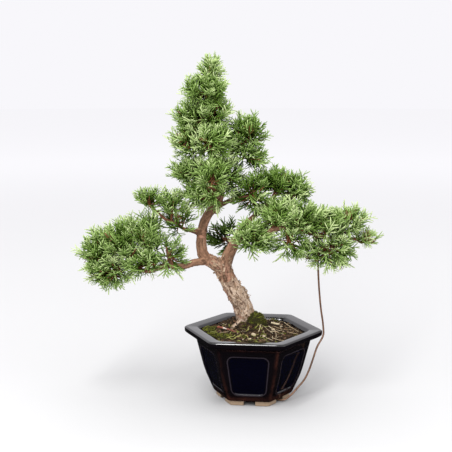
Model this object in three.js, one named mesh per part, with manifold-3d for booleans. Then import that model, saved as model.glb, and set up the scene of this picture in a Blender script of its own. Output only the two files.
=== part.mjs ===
// Chinese juniper bonsai in a glazed hexagonal pot, with its training wire.
// Millimetres, +Z up. The model is laid out round the pot's axis with the table at z = 0.
import * as THREE from 'three';
import { mergeVertices } from 'three/addons/utils/BufferGeometryUtils.js';
import Module from 'manifold-3d';

const wasm = await Module();
wasm.setup();

// Driving dimensions
const GAP = 0.3;
const POT_TURN = THREE.MathUtils.degToRad(-7);
const RIM_CORNER_R = 58;
const RIM_INNER_R = 46;
const POT_HEIGHT = 58;
const BASE_Z = 4;
const BASE_CORNER_R = 33;
const FLOOR_Z = 8;
const DRAIN_HOLE_R = 6;
const SOIL_EDGE_Z = 54;
const SOIL_CREST = 9;
const SOIL_TOP_R = 44.6;
const TRUNK_FOOT = [-5, 14];
const WIRE_R = 0.6;
const CORE_R = 1.4;
const FRONDLET_THICK = 1.1;

// Solids from geometries, and back

function toSolid(geometry) {
  const bare = geometry.clone();
  bare.deleteAttribute('normal');
  bare.deleteAttribute('uv');
  const merged = mergeVertices(bare, 1e-4);
  return new wasm.Manifold(new wasm.Mesh({
    numProp: 3,
    vertProperties: new Float32Array(merged.attributes.position.array),
    triVerts: new Uint32Array(merged.index.array),
  }));
}

function toGeometry(solid) {
  const mesh = solid.getMesh();
  const geometry = new THREE.BufferGeometry();
  geometry.setAttribute('position', new THREE.BufferAttribute(mesh.vertProperties, 3));
  geometry.setIndex(new THREE.BufferAttribute(mesh.triVerts, 1));
  geometry.computeVertexNormals();
  return geometry;
}

function join(solids) {
  const joined = wasm.Manifold.union(solids);
  for (const solid of solids) solid.delete();
  return joined;
}

function meets(solid, other) {
  const shared = solid.intersect(other);
  const found = !shared.isEmpty();
  shared.delete();
  return found;
}

function largestPiece(solid) {
  const pieces = solid.decompose();
  return pieces.reduce((best, piece) => (piece.volume() > best.volume() ? piece : best));
}

// Seeded random numbers between 0 and 1

function seededRandom(seed) {
  let state = seed;
  return () => {
    state = (state * 1664525 + 1013904223) % 4294967296;
    return state / 4294967296;
  };
}

// A hexagon with softened corners, one corner towards POT_TURN.
// The factor turns a corner radius into the radius in direction angle.

const CORNER_SHARPNESS = 40;
const CORNER_SPREAD = 0.2;
const SIXTH = Math.PI / 3;

function hexagonFactor(angle) {
  const fromCorner = angle - SIXTH * Math.floor(angle / SIXTH);
  const first = Math.cos(fromCorner - SIXTH / 2) ** CORNER_SHARPNESS;
  const second = Math.max(0, Math.cos(fromCorner - SIXTH * 1.5)) ** CORNER_SHARPNESS;
  const third = Math.max(0, Math.cos(fromCorner + SIXTH / 2)) ** CORNER_SHARPNESS;
  return Math.cos(SIXTH / 2) / (first + second + third) ** (1 / CORNER_SHARPNESS);
}

// A profile of [corner radius, height] points swept round the pot's axis as a hexagon.
// Each side has its points drawn together at the corners, so that the faces are flat.

function hexagonLathe(profile, pointsPerSide = 4) {
  const segments = 6 * pointsPerSide;
  const outline = profile.map(([r, z]) => new THREE.Vector2(r, z));
  const geometry = new THREE.LatheGeometry(outline, segments);
  geometry.rotateX(Math.PI / 2);
  const place = geometry.attributes.position;
  for (let i = 0; i < place.count; i++) {
    const r = Math.hypot(place.getX(i), place.getY(i));
    if (r < 1e-6) continue;
    const step = Math.round((Math.atan2(place.getY(i), place.getX(i)) / (2 * Math.PI)) * segments);
    const wrapped = ((step % segments) + segments) % segments;
    const side = Math.floor(wrapped / pointsPerSide);
    const across = (wrapped % pointsPerSide) - (pointsPerSide - 1) / 2;
    const angle = SIXTH * (side + (across / pointsPerSide) * CORNER_SPREAD);
    const reach = r * hexagonFactor(angle);
    place.setX(i, reach * Math.cos(angle + POT_TURN));
    place.setY(i, reach * Math.sin(angle + POT_TURN));
  }
  return geometry;
}

// A tapering round limb along a curve through points [x, y, z, radius].
// swell raises the limb's skin all round and at both ends, to cut clearances with.

function limbGeometry(points, { sides = 6, steps = 1, swell = 0, gnarl = 0 } = {}) {
  const curve = new THREE.CatmullRomCurve3(points.map(([x, y, z]) => new THREE.Vector3(x, y, z)));
  const spans = points.length - 1;
  const rings = spans * steps;
  const normal = new THREE.Vector3();
  const stations = [];
  for (let i = 0; i <= rings; i++) {
    const t = i / rings;
    const centre = curve.getPoint(t);
    const tangent = curve.getTangent(t);
    if (i === 0) normal.set(tangent.z, 0.3, -tangent.x);
    normal.addScaledVector(tangent, -normal.dot(tangent)).normalize();
    if (i === 0) centre.addScaledVector(tangent, -swell);
    if (i === rings) centre.addScaledVector(tangent, swell);
    const span = Math.min(spans - 1, Math.floor(t * spans + 1e-9));
    const along = t * spans - span;
    const radius = points[span][3] * (1 - along) + points[span + 1][3] * along + swell;
    const side = new THREE.Vector3().crossVectors(normal, tangent);
    stations.push({ centre, radius, normal: normal.clone(), side });
  }
  const geometry = new THREE.CylinderGeometry(1, 1, 1, sides, rings);
  const place = geometry.attributes.position;
  for (let i = 0; i < place.count; i++) {
    const station = stations[Math.round((place.getY(i) + 0.5) * rings)];
    const x = place.getX(i);
    const z = place.getZ(i);
    const turn = Math.atan2(z, x);
    const { z: height } = station.centre;
    const lobes = 1 + gnarl * (Math.sin(2 * turn + height / 9) + 0.6 * Math.sin(3 * turn - height / 6));
    const at = station.centre.clone()
      .addScaledVector(station.normal, x * station.radius * lobes)
      .addScaledVector(station.side, z * station.radius * lobes);
    place.setXYZ(i, at.x, at.y, at.z);
  }
  return geometry;
}

function limb(points, options) {
  return toSolid(limbGeometry(points, options));
}

// Pot: glazed stoneware, a flared hexagon with a broad lip, six feet and a panel on each face

const OUTER_WALL = [
  [BASE_CORNER_R, BASE_Z],
  [35.2, 8.5],
  [41.2, 22],
  [47.6, 46],
  [48.5, 50.5],
];
const LIP = [
  [56, 52.5],
  [RIM_CORNER_R - 0.3, 54],
  [RIM_CORNER_R, 56.5],
  [RIM_CORNER_R - 1.6, POT_HEIGHT],
  [RIM_INNER_R + 0.6, POT_HEIGHT - 0.6],
  [RIM_INNER_R - 0.8, POT_HEIGHT - 1.8],
];
const INNER_WALL = [
  [44.4, 50],
  [37, 22],
  [29, FLOOR_Z],
];
const PANEL = { bottom: 10, top: 44, halfTop: 16.6, halfBottom: 13.2, corner: 5, recess: 0.8 };
const FOOT = { outer: 31, inner: 25, notch: 9.5, notchTop: 4.5 };

function panelOutline() {
  const { bottom: low, top: high, halfTop: top, halfBottom: bottom, corner } = PANEL;
  const shape = new THREE.Shape();
  shape.moveTo(-bottom + corner, low);
  shape.lineTo(bottom - corner, low);
  shape.quadraticCurveTo(bottom, low, bottom + 0.4, low + corner);
  shape.lineTo(top, high - corner);
  shape.quadraticCurveTo(top, high, top - corner, high);
  shape.lineTo(-top + corner, high);
  shape.quadraticCurveTo(-top, high, -top, high - corner);
  shape.lineTo(-bottom - 0.4, low + corner);
  shape.quadraticCurveTo(-bottom, low, -bottom + corner, low);
  return shape;
}

// The panel's prism, upright, pointing outwards from the pot's axis through face number k

function panelPrism(k) {
  const prism = new THREE.ExtrudeGeometry(panelOutline(), {
    depth: RIM_CORNER_R,
    bevelEnabled: false,
    curveSegments: 1,
  });
  prism.rotateX(Math.PI / 2);
  prism.rotateZ(Math.PI);
  prism.translate(0, BASE_CORNER_R / 2, 0);
  prism.rotateZ(POT_TURN + SIXTH * (k + 0.5) - Math.PI / 2);
  return toSolid(prism);
}

function wallSolid(grow) {
  const profile = OUTER_WALL.map(([r, z]) => [r + grow, z]);
  return toSolid(hexagonLathe([[0, BASE_Z], ...profile, [0, OUTER_WALL.at(-1)[1]]]));
}

function makePot() {
  let pot = toSolid(hexagonLathe([
    [0, BASE_Z], ...OUTER_WALL, ...LIP, ...INNER_WALL, [0, FLOOR_Z],
  ]));
  const panelBacks = wallSolid(-PANEL.recess);
  for (let k = 0; k < 6; k++) pot = pot.subtract(panelPrism(k).subtract(panelBacks));
  let feet = toSolid(hexagonLathe([
    [FOOT.inner, 0], [FOOT.outer - 0.6, 0], [FOOT.outer, 0.8], [FOOT.outer, BASE_Z + 1],
    [FOOT.inner, BASE_Z + 1], [FOOT.inner, 0],
  ]));
  for (let k = 0; k < 3; k++) {
    const notch = new THREE.BoxGeometry(4 * FOOT.outer, FOOT.notch, 2 * FOOT.notchTop);
    notch.rotateZ(POT_TURN + SIXTH * (k + 0.5));
    feet = feet.subtract(toSolid(notch));
  }
  const drain = new THREE.CylinderGeometry(DRAIN_HOLE_R, DRAIN_HOLE_R, 3 * FLOOR_Z, 12);
  drain.rotateX(Math.PI / 2);
  return pot.add(feet).subtract(toSolid(drain));
}

// Drain mesh: a square of plastic net laid over the drain hole, under the soil

const NET = { half: 11, thick: 1, cells: 3, bar: 1.6 };
const NET_Z = FLOOR_Z + GAP;

function makeDrainMesh() {
  const sheet = new THREE.BoxGeometry(2 * NET.half, 2 * NET.half, NET.thick);
  let net = toSolid(sheet.translate(0, 0, NET_Z + NET.thick / 2));
  const pitch = (2 * NET.half - NET.bar) / NET.cells;
  const middle = (NET.cells - 1) / 2;
  for (let i = 0; i < NET.cells; i++) {
    for (let j = 0; j < NET.cells; j++) {
      const cell = new THREE.BoxGeometry(pitch - NET.bar, pitch - NET.bar, 4 * NET.thick);
      cell.translate((i - middle) * pitch, (j - middle) * pitch, NET_Z);
      net = net.subtract(toSolid(cell));
    }
  }
  return net;
}

// Soil: fills the pot and rises in a low mound round the trunk

function soilHeight(x, y) {
  const fromTrunk = Math.hypot(x - TRUNK_FOOT[0], y - TRUNK_FOOT[1]);
  const mound = SOIL_CREST * Math.exp(-((fromTrunk / 19) ** 2));
  const waves = 0.7 * Math.sin(x / 4.1) * Math.cos(y / 3.7) + 0.5 * Math.sin((x + y) / 6.3);
  return SOIL_EDGE_Z + mound + waves;
}

function soilSolid(raise) {
  const inset = GAP - raise;
  const wall = INNER_WALL.slice().reverse().map(([r, z]) => [r - inset, z]);
  const rings = [1, 0.78, 0.56, 0.36, 0.18];
  const top = rings.map((share) => [SOIL_TOP_R * share - (share === 1 ? inset : 0), SOIL_EDGE_Z]);
  const geometry = hexagonLathe([[0, FLOOR_Z + GAP], ...wall, ...top, [0, SOIL_EDGE_Z]], 2);
  const place = geometry.attributes.position;
  for (let i = 0; i < place.count; i++) {
    if (place.getZ(i) < FLOOR_Z + 1) place.setZ(i, FLOOR_Z + GAP);
    if (place.getZ(i) < SOIL_EDGE_Z) continue;
    place.setZ(i, soilHeight(place.getX(i), place.getY(i)) + raise);
  }
  return toSolid(geometry);
}

function makeSoil(wood) {
  const wide = 2 * (NET.half + GAP);
  const netRoom = new THREE.BoxGeometry(wide, wide, 2 * (NET.thick + GAP));
  netRoom.translate(0, 0, NET_Z);
  return largestPiece(soilSolid(0).subtract(toSolid(netRoom)).subtract(wood));
}

// Moss: three low cushions on the soil, [x, y, half length, half width, height, turn in degrees]

const MOSS = {
  moss_by_trunk: [3, 8.5, 9, 7.5, 9.5, -15],
  moss_front_left: [-27, -14, 13, 6.5, 3.2, -28],
  moss_left_edge: [-36, 6, 6, 9, 3, 10],
};
const MOSS_ROOM = { radius: 44, bottom: 45, top: 75 };

function makeMoss([x, y, long, wide, high, turn], wood) {
  const dome = new THREE.SphereGeometry(1, 9, 6);
  dome.rotateX(Math.PI / 2);
  const place = dome.attributes.position;
  for (let i = 0; i < place.count; i++) {
    const angle = Math.atan2(place.getY(i), place.getX(i));
    const edge = 1 + 0.14 * Math.sin(3 * angle + x) + 0.08 * Math.sin(5 * angle + y);
    place.setX(i, place.getX(i) * edge);
    place.setY(i, place.getY(i) * edge);
  }
  dome.scale(long, wide, high);
  dome.rotateZ(THREE.MathUtils.degToRad(turn));
  dome.translate(x, y, soilHeight(x, y));
  const { radius, bottom, top } = MOSS_ROOM;
  const withinPot = toSolid(hexagonLathe([[0, bottom], [radius, bottom], [radius, top], [0, top]], 2));
  return largestPiece(toSolid(dome).intersect(withinPot).subtract(soilSolid(GAP)).subtract(wood));
}

// Wood: the trunk with its surface roots, two leaders and all branches, grown as one piece.
// Every limb is a list of [x, y, z, radius].

const TRUNK = [
  [-4, 16, 42, 7.5],
  [-4.6, 15, 53, 8.2],
  [-5, 14, 61, 8.2],
  [-6.6, 12.6, 67, 8],
  [-8.6, 12, 74, 7.7],
  [-13.2, 10, 84, 7.8],
  [-19.2, 8, 94, 6.9],
  [-24, 5, 104.5, 6.9],
  [-28.3, 3, 111.5, 5.8],
];
const LIMBS = {
  leader: [
    [-26, 4, 107, 5.6], [-33, 2.5, 112.5, 5.4], [-39.5, 2.5, 116.5, 4.7], [-42, 3.5, 123, 4.3],
    [-42.4, 4.6, 132, 4.1], [-41, 5.8, 142, 3.9], [-37.4, 6, 150.5, 3.8], [-32.3, 5, 157.5, 3.8],
    [-27, 3.2, 168, 3.6], [-27, 2.2, 182, 3.7], [-31, 2, 195, 3.2], [-37, 3.8, 210, 2.8],
    [-40, 5, 223, 2.4], [-39, 4, 239, 1.9], [-36, 2, 254, 1.3], [-35, 1.2, 260, 1],
  ],
  right_limb: [
    [-22, 5, 101, 5], [-23, 2, 110, 5.3], [-20.5, 0, 118, 4.9], [-17, -2, 126, 4.3],
    [-14, -5, 133, 3.5], [-10, -8, 134.5, 2.8],
  ],
  right_low_branch: [
    [-16, -4, 131, 3], [-6, -10, 134, 3.1], [3, -14, 135, 2.8], [12, -16, 140, 2.6], [21, -16, 144, 2.4],
    [34, -15, 142, 2.2], [47, -14, 139, 1.9], [59, -12, 135, 1.5], [73, -10, 135, 1],
  ],
  right_high_branch: [
    [-15, -4, 131, 2.6], [-10, -2, 141, 2.6], [-1, 2, 149, 2.3], [7, 6, 155, 2], [12, 8, 161, 1.7],
    [20, 10, 168, 1.3], [29, 10, 173, 0.9],
  ],
  middle_branch: [[-30, 5, 157, 2], [-18, 2, 164, 1.8], [-7, 0, 167, 1.5], [2, -2, 172, 0.9]],
  shoulder_branch: [
    [-31, 3, 196, 1.7], [-20, 8, 201, 1.5], [-8, 12, 208, 1.2], [2, 14, 213, 0.8],
  ],
  left_low_branch: [
    [-36, 2.4, 114, 3.4], [-49, -3, 113, 3.1], [-57, -7, 111, 2.8], [-69, -10, 112, 2.5],
    [-77, -11, 110, 2.3], [-86, -11, 108, 2.1], [-100, -9, 111, 1.7], [-114, -7, 118, 1.3],
    [-124, -5, 124, 0.9],
  ],
  left_high_branch: [
    [-41, 5, 134, 2], [-48, 1, 138, 1.7], [-58, -4, 142, 1.3], [-63, -6, 146, 1.5], [-70, -7, 149, 1.3],
    [-77, -8, 155, 1.2], [-83, -8, 160, 1], [-90, -8, 166, 0.8],
  ],
  left_twig: [[-66, -10, 112.5, 1.4], [-69, -11.5, 120, 1.1], [-70, -12, 128, 0.8]],
  back_low_branch: [[-24, 6, 107, 3.2], [-20, 20, 117, 2.7], [-17, 34, 122, 2], [-18, 44, 124, 1.2]],
  back_middle_branch: [[-30, 6, 157, 2.2], [-36, 18, 163, 1.9], [-41, 28, 167, 1.4], [-43, 35, 169, 1]],
  back_right_branch: [[-17, -2, 127, 2.4], [-4, 12, 135, 2.1], [8, 22, 140, 1.7], [17, 30, 143, 1.1]],
  back_high_branch: [[-34, 3, 202, 1.8], [-31, 13, 206, 1.4], [-29, 20, 208, 1]],
  front_crown_twig: [[-26, 3, 170, 1.5], [-30, -12, 174, 1.2], [-36, -22, 177, 0.8]],
  front_head_twig: [[-37, 3, 211, 1.3], [-40, -10, 213, 1], [-43, -18, 215, 0.7]],
  left_knob: [[-42, 4.4, 137, 2.4], [-46, 3.4, 137.6, 2.7], [-48, 3, 137.8, 1.9]],
  right_knob: [[-33.5, 4.4, 157, 2.6], [-29.8, 2.6, 155, 2.9], [-28, 1.8, 154, 2.1]],
};
const ROOTS = [
  [[-8, 13, 61, 4], [-13, 7, 59, 2.4], [-18, 1, 56.4, 1.5], [-23, -4, 52, 0.9]],
  [[-3, 11, 59, 4.4], [-1, 3, 55, 3], [2, -7, 49, 1.8], [5, -13, 43, 1]],
  [[0, 15, 59, 4.4], [9, 14, 55, 3.2], [18, 14, 48, 2], [24, 16, 41, 1.1]],
  [[-4, 20, 59, 4.4], [-3, 28, 54, 3], [0, 34, 46, 1.6]],
  [[-9, 18, 59, 4], [-16, 25, 53, 2.6], [-21, 30, 45, 1.4]],
  [[-4, 15, 46, 5.5], [-2, 10, 34, 3.2], [3, 4, 22, 1.6]],
];

function makeWood(swell) {
  const trunk = limb(TRUNK, { sides: 10, swell, gnarl: 0.05 });
  const limbs = Object.values(LIMBS).map((points) => {
    const thick = points[0][3] > 4;
    return limb(points, { sides: thick ? 7 : 5, swell, gnarl: thick ? 0.04 : 0 });
  });
  const roots = ROOTS.map((points) => limb(points, { sides: 5, swell }));
  return join([trunk, ...limbs, ...roots]);
}

// Training wire: wound one and a half turns round the right low branch, led down past the
// right corner of the lip, along the wall and under the pot into its drain hole

const WIRE_COIL = { centre: [48, -13.9, 138.7], along: [0.955, 0.11, -0.27], radius: 3, turns: 1.5, pitch: 2 };
const WIRE_LEAD = [
  [51.2, -15.6, 128], [51.6, -14.6, 116], [52.2, -13, 104], [53.4, -11, 90], [55, -9.2, 76], [56.8, -7.5, 65],
  [57.5, -7.1, 58.5], [57.6, -7.1, 54.5], [56.4, -7.5, 51], [52.6, -8.5, 44.5], [49, -9.8, 34], [45.8, -11, 25],
  [41.8, -12, 17], [36.6, -12.6, 10.8], [31, -14.2, 5], [25, -16.8, 1.8], [18, -13.5, 1.2], [9, -6.5, 1.2],
  [3, -1.8, 2.2], [0.8, 0, 6.2],
];

function wireSolid(swell) {
  const { centre, along, radius, turns, pitch } = WIRE_COIL;
  const axis = new THREE.Vector3(...along).normalize();
  const up = new THREE.Vector3(0, 0, 1);
  up.addScaledVector(axis, -up.dot(axis)).normalize();
  const side = new THREE.Vector3().crossVectors(axis, up);
  const coil = [];
  const stepsPerTurn = 10;
  const count = Math.round(turns * stepsPerTurn);
  for (let i = 0; i <= count; i++) {
    const angle = (i / stepsPerTurn) * 2 * Math.PI;
    const at = new THREE.Vector3(...centre)
      .addScaledVector(axis, (i / stepsPerTurn) * pitch)
      .addScaledVector(up, radius * Math.cos(angle))
      .addScaledVector(side, radius * Math.sin(angle));
    coil.push([at.x, at.y, at.z, WIRE_R]);
  }
  const lead = WIRE_LEAD.map((p) => [...p, WIRE_R]);
  return limb([...coil, ...lead], { sides: 7, swell });
}

// Foliage: one spray to a node. Each has a slim core that starts at its branch, and flat
// frondlets that run from the core out to the spray's outer form.
// Sizes are [root], [centre], [half sizes] and the number of frondlets.

const SPRAYS = {
  apex_tip: [[-35, 1.3, 259], [-36, 0, 266], [14.5, 11, 14], 4],
  apex_upper_front: [[-37.8, 3.2, 245], [-38.5, -5, 249.5], [19, 12, 14], 4],
  apex_upper_back: [[-37.8, 3.2, 245], [-37, 10, 249], [17, 10, 14], 3],
  apex_middle_left: [[-40, 5, 224], [-49.5, 2, 231], [15.5, 15, 13], 4],
  apex_middle_right: [[-39, 4, 228], [-30, 0, 234], [12.5, 16, 15], 5],
  apex_low_left: [[-36, 4, 206], [-53, -2, 212.5], [15, 17, 13], 4],
  apex_low_front: [[-42, -16, 214.5], [-32, -8, 212], [16, 16, 14], 3],
  apex_back: [[-38, 4, 212], [-40, 17, 222], [16, 14, 18], 3],
  crown_left: [[-29, 2, 186], [-53, 0, 186.5], [16, 17, 9.5], 5],
  crown_front: [[-34, -19, 176], [-32, -12, 189], [15, 15, 12], 4],
  crown_right: [[-29, 2, 190], [-20, 2, 184], [10.5, 16, 17], 4],
  crown_under: [[-28, -6, 172], [-38, -5, 171], [18, 16, 13], 3],
  shoulder_right: [[-2, 13, 211], [-5, 9, 213], [18, 15, 15], 5],
  shoulder_low: [[-12, 10.4, 206], [-1, 8, 199.5], [14, 13, 9.5], 3],
  middle_right: [[-1, -1, 170], [0, 2, 170], [14.5, 17, 18], 4],
  right_upper_inner: [[15, 8.6, 164], [21, 6, 176], [14, 16, 12], 4],
  right_upper_outer: [[27, 10, 172], [34, 4, 170], [12.5, 14, 13], 4],
  right_inner: [[-4, -11, 134], [0, -17, 137], [18, 15, 14], 5],
  right_middle_inner: [[12, -16, 140], [18, -8, 155], [16, 16, 13], 4],
  right_middle_outer: [[28, -15.4, 143], [40, -13, 152], [16, 17, 15], 5],
  right_low: [[24, -16, 143.6], [27, -16, 129], [15, 13, 12], 3],
  right_far_inner: [[53.5, -13, 137.2], [58, -12, 146], [17, 17, 15], 5],
  right_far_outer: [[68, -10.6, 135], [78, -10, 149], [18, 14, 12], 5],
  right_far_low: [[59, -12, 135], [62, -14, 124.5], [23, 15, 14], 5],
  right_low_tip: [[72, -10, 135], [91, -10, 135], [13, 8, 6], 3],
  left_upper_outer: [[-84, -8, 161], [-83, -8, 164.5], [13.5, 12, 10.5], 4],
  left_upper_inner: [[-66, -6.4, 147.4], [-66, -6, 162], [11, 12, 12], 3],
  left_hanging: [[-56, -3, 141], [-65, -5, 140], [12, 12, 13], 3],
  left_tip: [[-118, -6.2, 120.4], [-126, -5, 122], [16, 18, 20], 6],
  left_outer_upper: [[-98, -9.4, 110.6], [-107, -6, 132], [18, 20, 19], 5],
  left_middle_upper: [[-80, -11, 109.4], [-86, -8, 138], [15, 18, 18.5], 4],
  left_outer_low: [[-106, -8, 114], [-115, -9, 106.5], [18, 17, 14], 5],
  left_inner: [[-69.6, -11.8, 124], [-66, -10, 122], [13, 13, 14], 3],
  left_dropping: [[-82, -11, 109], [-87, -15, 111], [12, 10, 9], 2],
  back_low: [[-18, 43, 124], [-24, 53, 121.5], [22, 18, 15], 4],
  back_middle: [[-43, 34, 169], [-45, 43, 164], [17, 17, 15], 3],
  back_right: [[16, 29, 142.8], [24, 38, 148], [18, 17, 13], 3],
  back_upper: [[-29, 19, 208], [-28, 28, 209], [15, 14, 11], 3],
};
const GOLDEN_ANGLE = Math.PI * (3 - Math.sqrt(5));
const TRIES_PER_FRONDLET = 5;
const NEIGHBOUR_SHARE = 0.8;

// A frondlet: the flat, feathered end of a juniper twig, with pointed scaly cords on both
// sides of a midrib. It grows from its root along way, with its flat side facing normal.

const MIDRIB = 0.55;
const CORD_LEAN = THREE.MathUtils.degToRad(42);
const CORD_SHARE = 0.55;
const LONGEST_CORD = 11.5;
const FIRST_CORD = 5;
const LONG_FRONDLET = 20;
const SHORTEST_FRONDLET = 9;
const ROOT_ZONE = 5.5;

function frondletOutline(length) {
  const pairs = length > LONG_FRONDLET ? 3 : 2;
  const step = (length - FIRST_CORD) / (pairs + 0.6);
  const right = [[MIDRIB, 0]];
  const left = [[-MIDRIB, 0]];
  for (let k = 0; k < pairs; k++) {
    const reach = Math.min(length * CORD_SHARE, LONGEST_CORD) * (1 - (0.4 * k) / pairs);
    for (const [side, points] of [[1, right], [-1, left]]) {
      const from = FIRST_CORD + step * (k + (side > 0 ? 0.4 : 0));
      points.push([side * MIDRIB, from]);
      points.push([side * (MIDRIB + reach * Math.sin(CORD_LEAN)), from + 1 + reach * Math.cos(CORD_LEAN)]);
    }
  }
  right.push([MIDRIB, FIRST_CORD + step * (pairs + 0.3)]);
  left.push([-MIDRIB, FIRST_CORD + step * pairs]);
  return new THREE.Shape([...right, [0, length], ...left.reverse()].map(([x, y]) => new THREE.Vector2(x, y)));
}

function frondletGeometry(root, way, normal, length, arch, swell = 0) {
  const thick = FRONDLET_THICK + 2 * swell;
  const geometry = new THREE.ExtrudeGeometry(frondletOutline(length), { depth: thick, bevelEnabled: false });
  geometry.translate(0, 0, -thick / 2);
  geometry.scale(1 + swell / 5, 1 + swell / 10, 1);
  const place = geometry.attributes.position;
  for (let i = 0; i < place.count; i++) {
    const along = place.getY(i) / length;
    const across = place.getX(i) / length;
    place.setZ(i, place.getZ(i) + arch * along * along - 0.8 * arch * across * across);
  }
  const side = new THREE.Vector3().crossVectors(way, normal);
  geometry.applyMatrix4(new THREE.Matrix4().makeBasis(side, way, normal).setPosition(root));
  return geometry;
}

// What is already in place, so that nothing new crosses it

const inPlace = [];

function keep(solid, owner) {
  const { min, max } = solid.boundingBox();
  const box = new THREE.Box3(new THREE.Vector3(...min), new THREE.Vector3(...max));
  inPlace.push({ solid, box, owner });
}

function isFree(geometry, owner) {
  geometry.computeBoundingBox();
  const reach = geometry.boundingBox;
  const near = inPlace.filter((item) => item.owner !== owner && item.box.intersectsBox(reach));
  if (near.length === 0) return true;
  const probe = toSolid(geometry);
  const free = !near.some(({ solid }) => meets(solid, probe));
  probe.delete();
  return free;
}

function insideSpray([, centre, half], point, share) {
  const x = (point.x - centre[0]) / half[0];
  const y = (point.y - centre[1]) / half[1];
  const z = (point.z - centre[2]) / half[2];
  return x * x + y * y + z * z < share * share;
}

// Frondlets of one spray may only run into each other close to their roots

function crossesBeyond(solid, other, root) {
  const shared = solid.intersect(other);
  const box = shared.boundingBox();
  const far = new THREE.Vector3(...box.min).distanceTo(root) + new THREE.Vector3(...box.max).distanceTo(root);
  const crossing = !shared.isEmpty() && far / 2 > ROOT_ZONE;
  shared.delete();
  return crossing;
}

// The core of a spray runs from its branch to a little past the spray's centre

function coreLine([rootAt, centreAt]) {
  const root = new THREE.Vector3(...rootAt);
  const run = new THREE.Vector3(...centreAt).sub(root);
  const end = root.clone().addScaledVector(run, 1 + 3 / Math.max(run.length(), 6));
  return { root, end };
}

function coreSolid(spray, swell) {
  const { root, end } = coreLine(spray);
  return limb([[...root.toArray(), CORE_R], [...end.toArray(), CORE_R * 0.7]], { sides: 4, swell });
}

function makeSpray(name, index, wood) {
  const spray = SPRAYS[name];
  const [, centreAt, half, count] = spray;
  const random = seededRandom(977 + 7919 * index);
  const { root, end } = coreLine(spray);
  const pieces = [coreSolid(spray, 0)];
  const others = Object.entries(SPRAYS).filter(([other]) => other !== name).map(([, value]) => value);
  const tries = count * TRIES_PER_FRONDLET;
  for (let i = 0; i < tries && pieces.length <= count; i++) {
    const turnOn = (i * 7) % tries;
    const up = 1 - (2 * (turnOn + 0.5)) / tries;
    const around = turnOn * GOLDEN_ANGLE + index;
    const level = Math.sqrt(1 - up * up);
    const tip = new THREE.Vector3(level * Math.cos(around), level * Math.sin(around), up);
    tip.multiply(new THREE.Vector3(...half)).add(new THREE.Vector3(...centreAt));
    if (others.some((other) => insideSpray(other, tip, NEIGHBOUR_SHARE))) continue;
    const base = root.clone().lerp(end, 0.35 + 0.6 * ((i * 0.618) % 1));
    const way = new THREE.Vector3().subVectors(tip, base);
    const length = way.length();
    if (length < SHORTEST_FRONDLET) continue;
    way.normalize();
    const normal = new THREE.Vector3(0, 0, 1).applyAxisAngle(way, (random() - 0.5) * 2.4);
    normal.addScaledVector(way, -normal.dot(way)).normalize();
    const arch = length * (0.05 + 0.1 * random());
    if (!isFree(frondletGeometry(base, way, normal, length, arch, GAP), name)) continue;
    const frondlet = toSolid(frondletGeometry(base, way, normal, length, arch));
    if (pieces.slice(1).some((other) => crossesBeyond(frondlet, other, base))) continue;
    pieces.push(frondlet);
  }
  return largestPiece(join(pieces).subtract(wood));
}

// Finishes

const FINISH = {
  glaze: { color: 0x14131c, roughness: 0.12, metalness: 0 },
  net: { color: 0x1d1f1e, roughness: 0.6, metalness: 0 },
  soil: { color: 0x56472f, roughness: 1, metalness: 0 },
  moss: { color: 0x4d5a1e, roughness: 1, metalness: 0 },
  bark: { color: 0x9c8068, roughness: 0.9, metalness: 0 },
  wire: { color: 0x6b4a3c, roughness: 0.4, metalness: 0.8 },
  foliage: { color: 0x68803f, roughness: 0.7, metalness: 0 },
};

const tree = new THREE.Group();

function place(name, solid, finish) {
  const mesh = new THREE.Mesh(toGeometry(solid), new THREE.MeshStandardMaterial(FINISH[finish]));
  mesh.name = name;
  tree.add(mesh);
}

const wood = makeWood(0);
const woodRoom = makeWood(GAP);
place('pot', makePot(), 'glaze');
place('drain_mesh', makeDrainMesh(), 'net');
place('soil', makeSoil(woodRoom), 'soil');
for (const [name, cushion] of Object.entries(MOSS)) place(name, makeMoss(cushion, woodRoom), 'moss');
place('trunk', wood, 'bark');
place('guy_wire', wireSolid(0), 'wire');
keep(wireSolid(GAP), 'guy_wire');
keep(woodRoom, 'trunk');
for (const [name, spray] of Object.entries(SPRAYS)) keep(coreSolid(spray, GAP), name);
Object.keys(SPRAYS).forEach((name, index) => {
  const solid = makeSpray(name, index, woodRoom);
  keep(solid, name);
  place(`foliage_${name}`, solid, 'foliage');
});

// The origin stands under the middle of the whole, on the table

const bounds = new THREE.Box3().setFromObject(tree);
const middle = bounds.getCenter(new THREE.Vector3());
for (const mesh of tree.children) mesh.position.set(-middle.x, -middle.y, -bounds.min.z);

export default tree;
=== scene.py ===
import math
import random

import bpy
import numpy as np
from mathutils import Matrix, Vector, kdtree, noise


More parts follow.
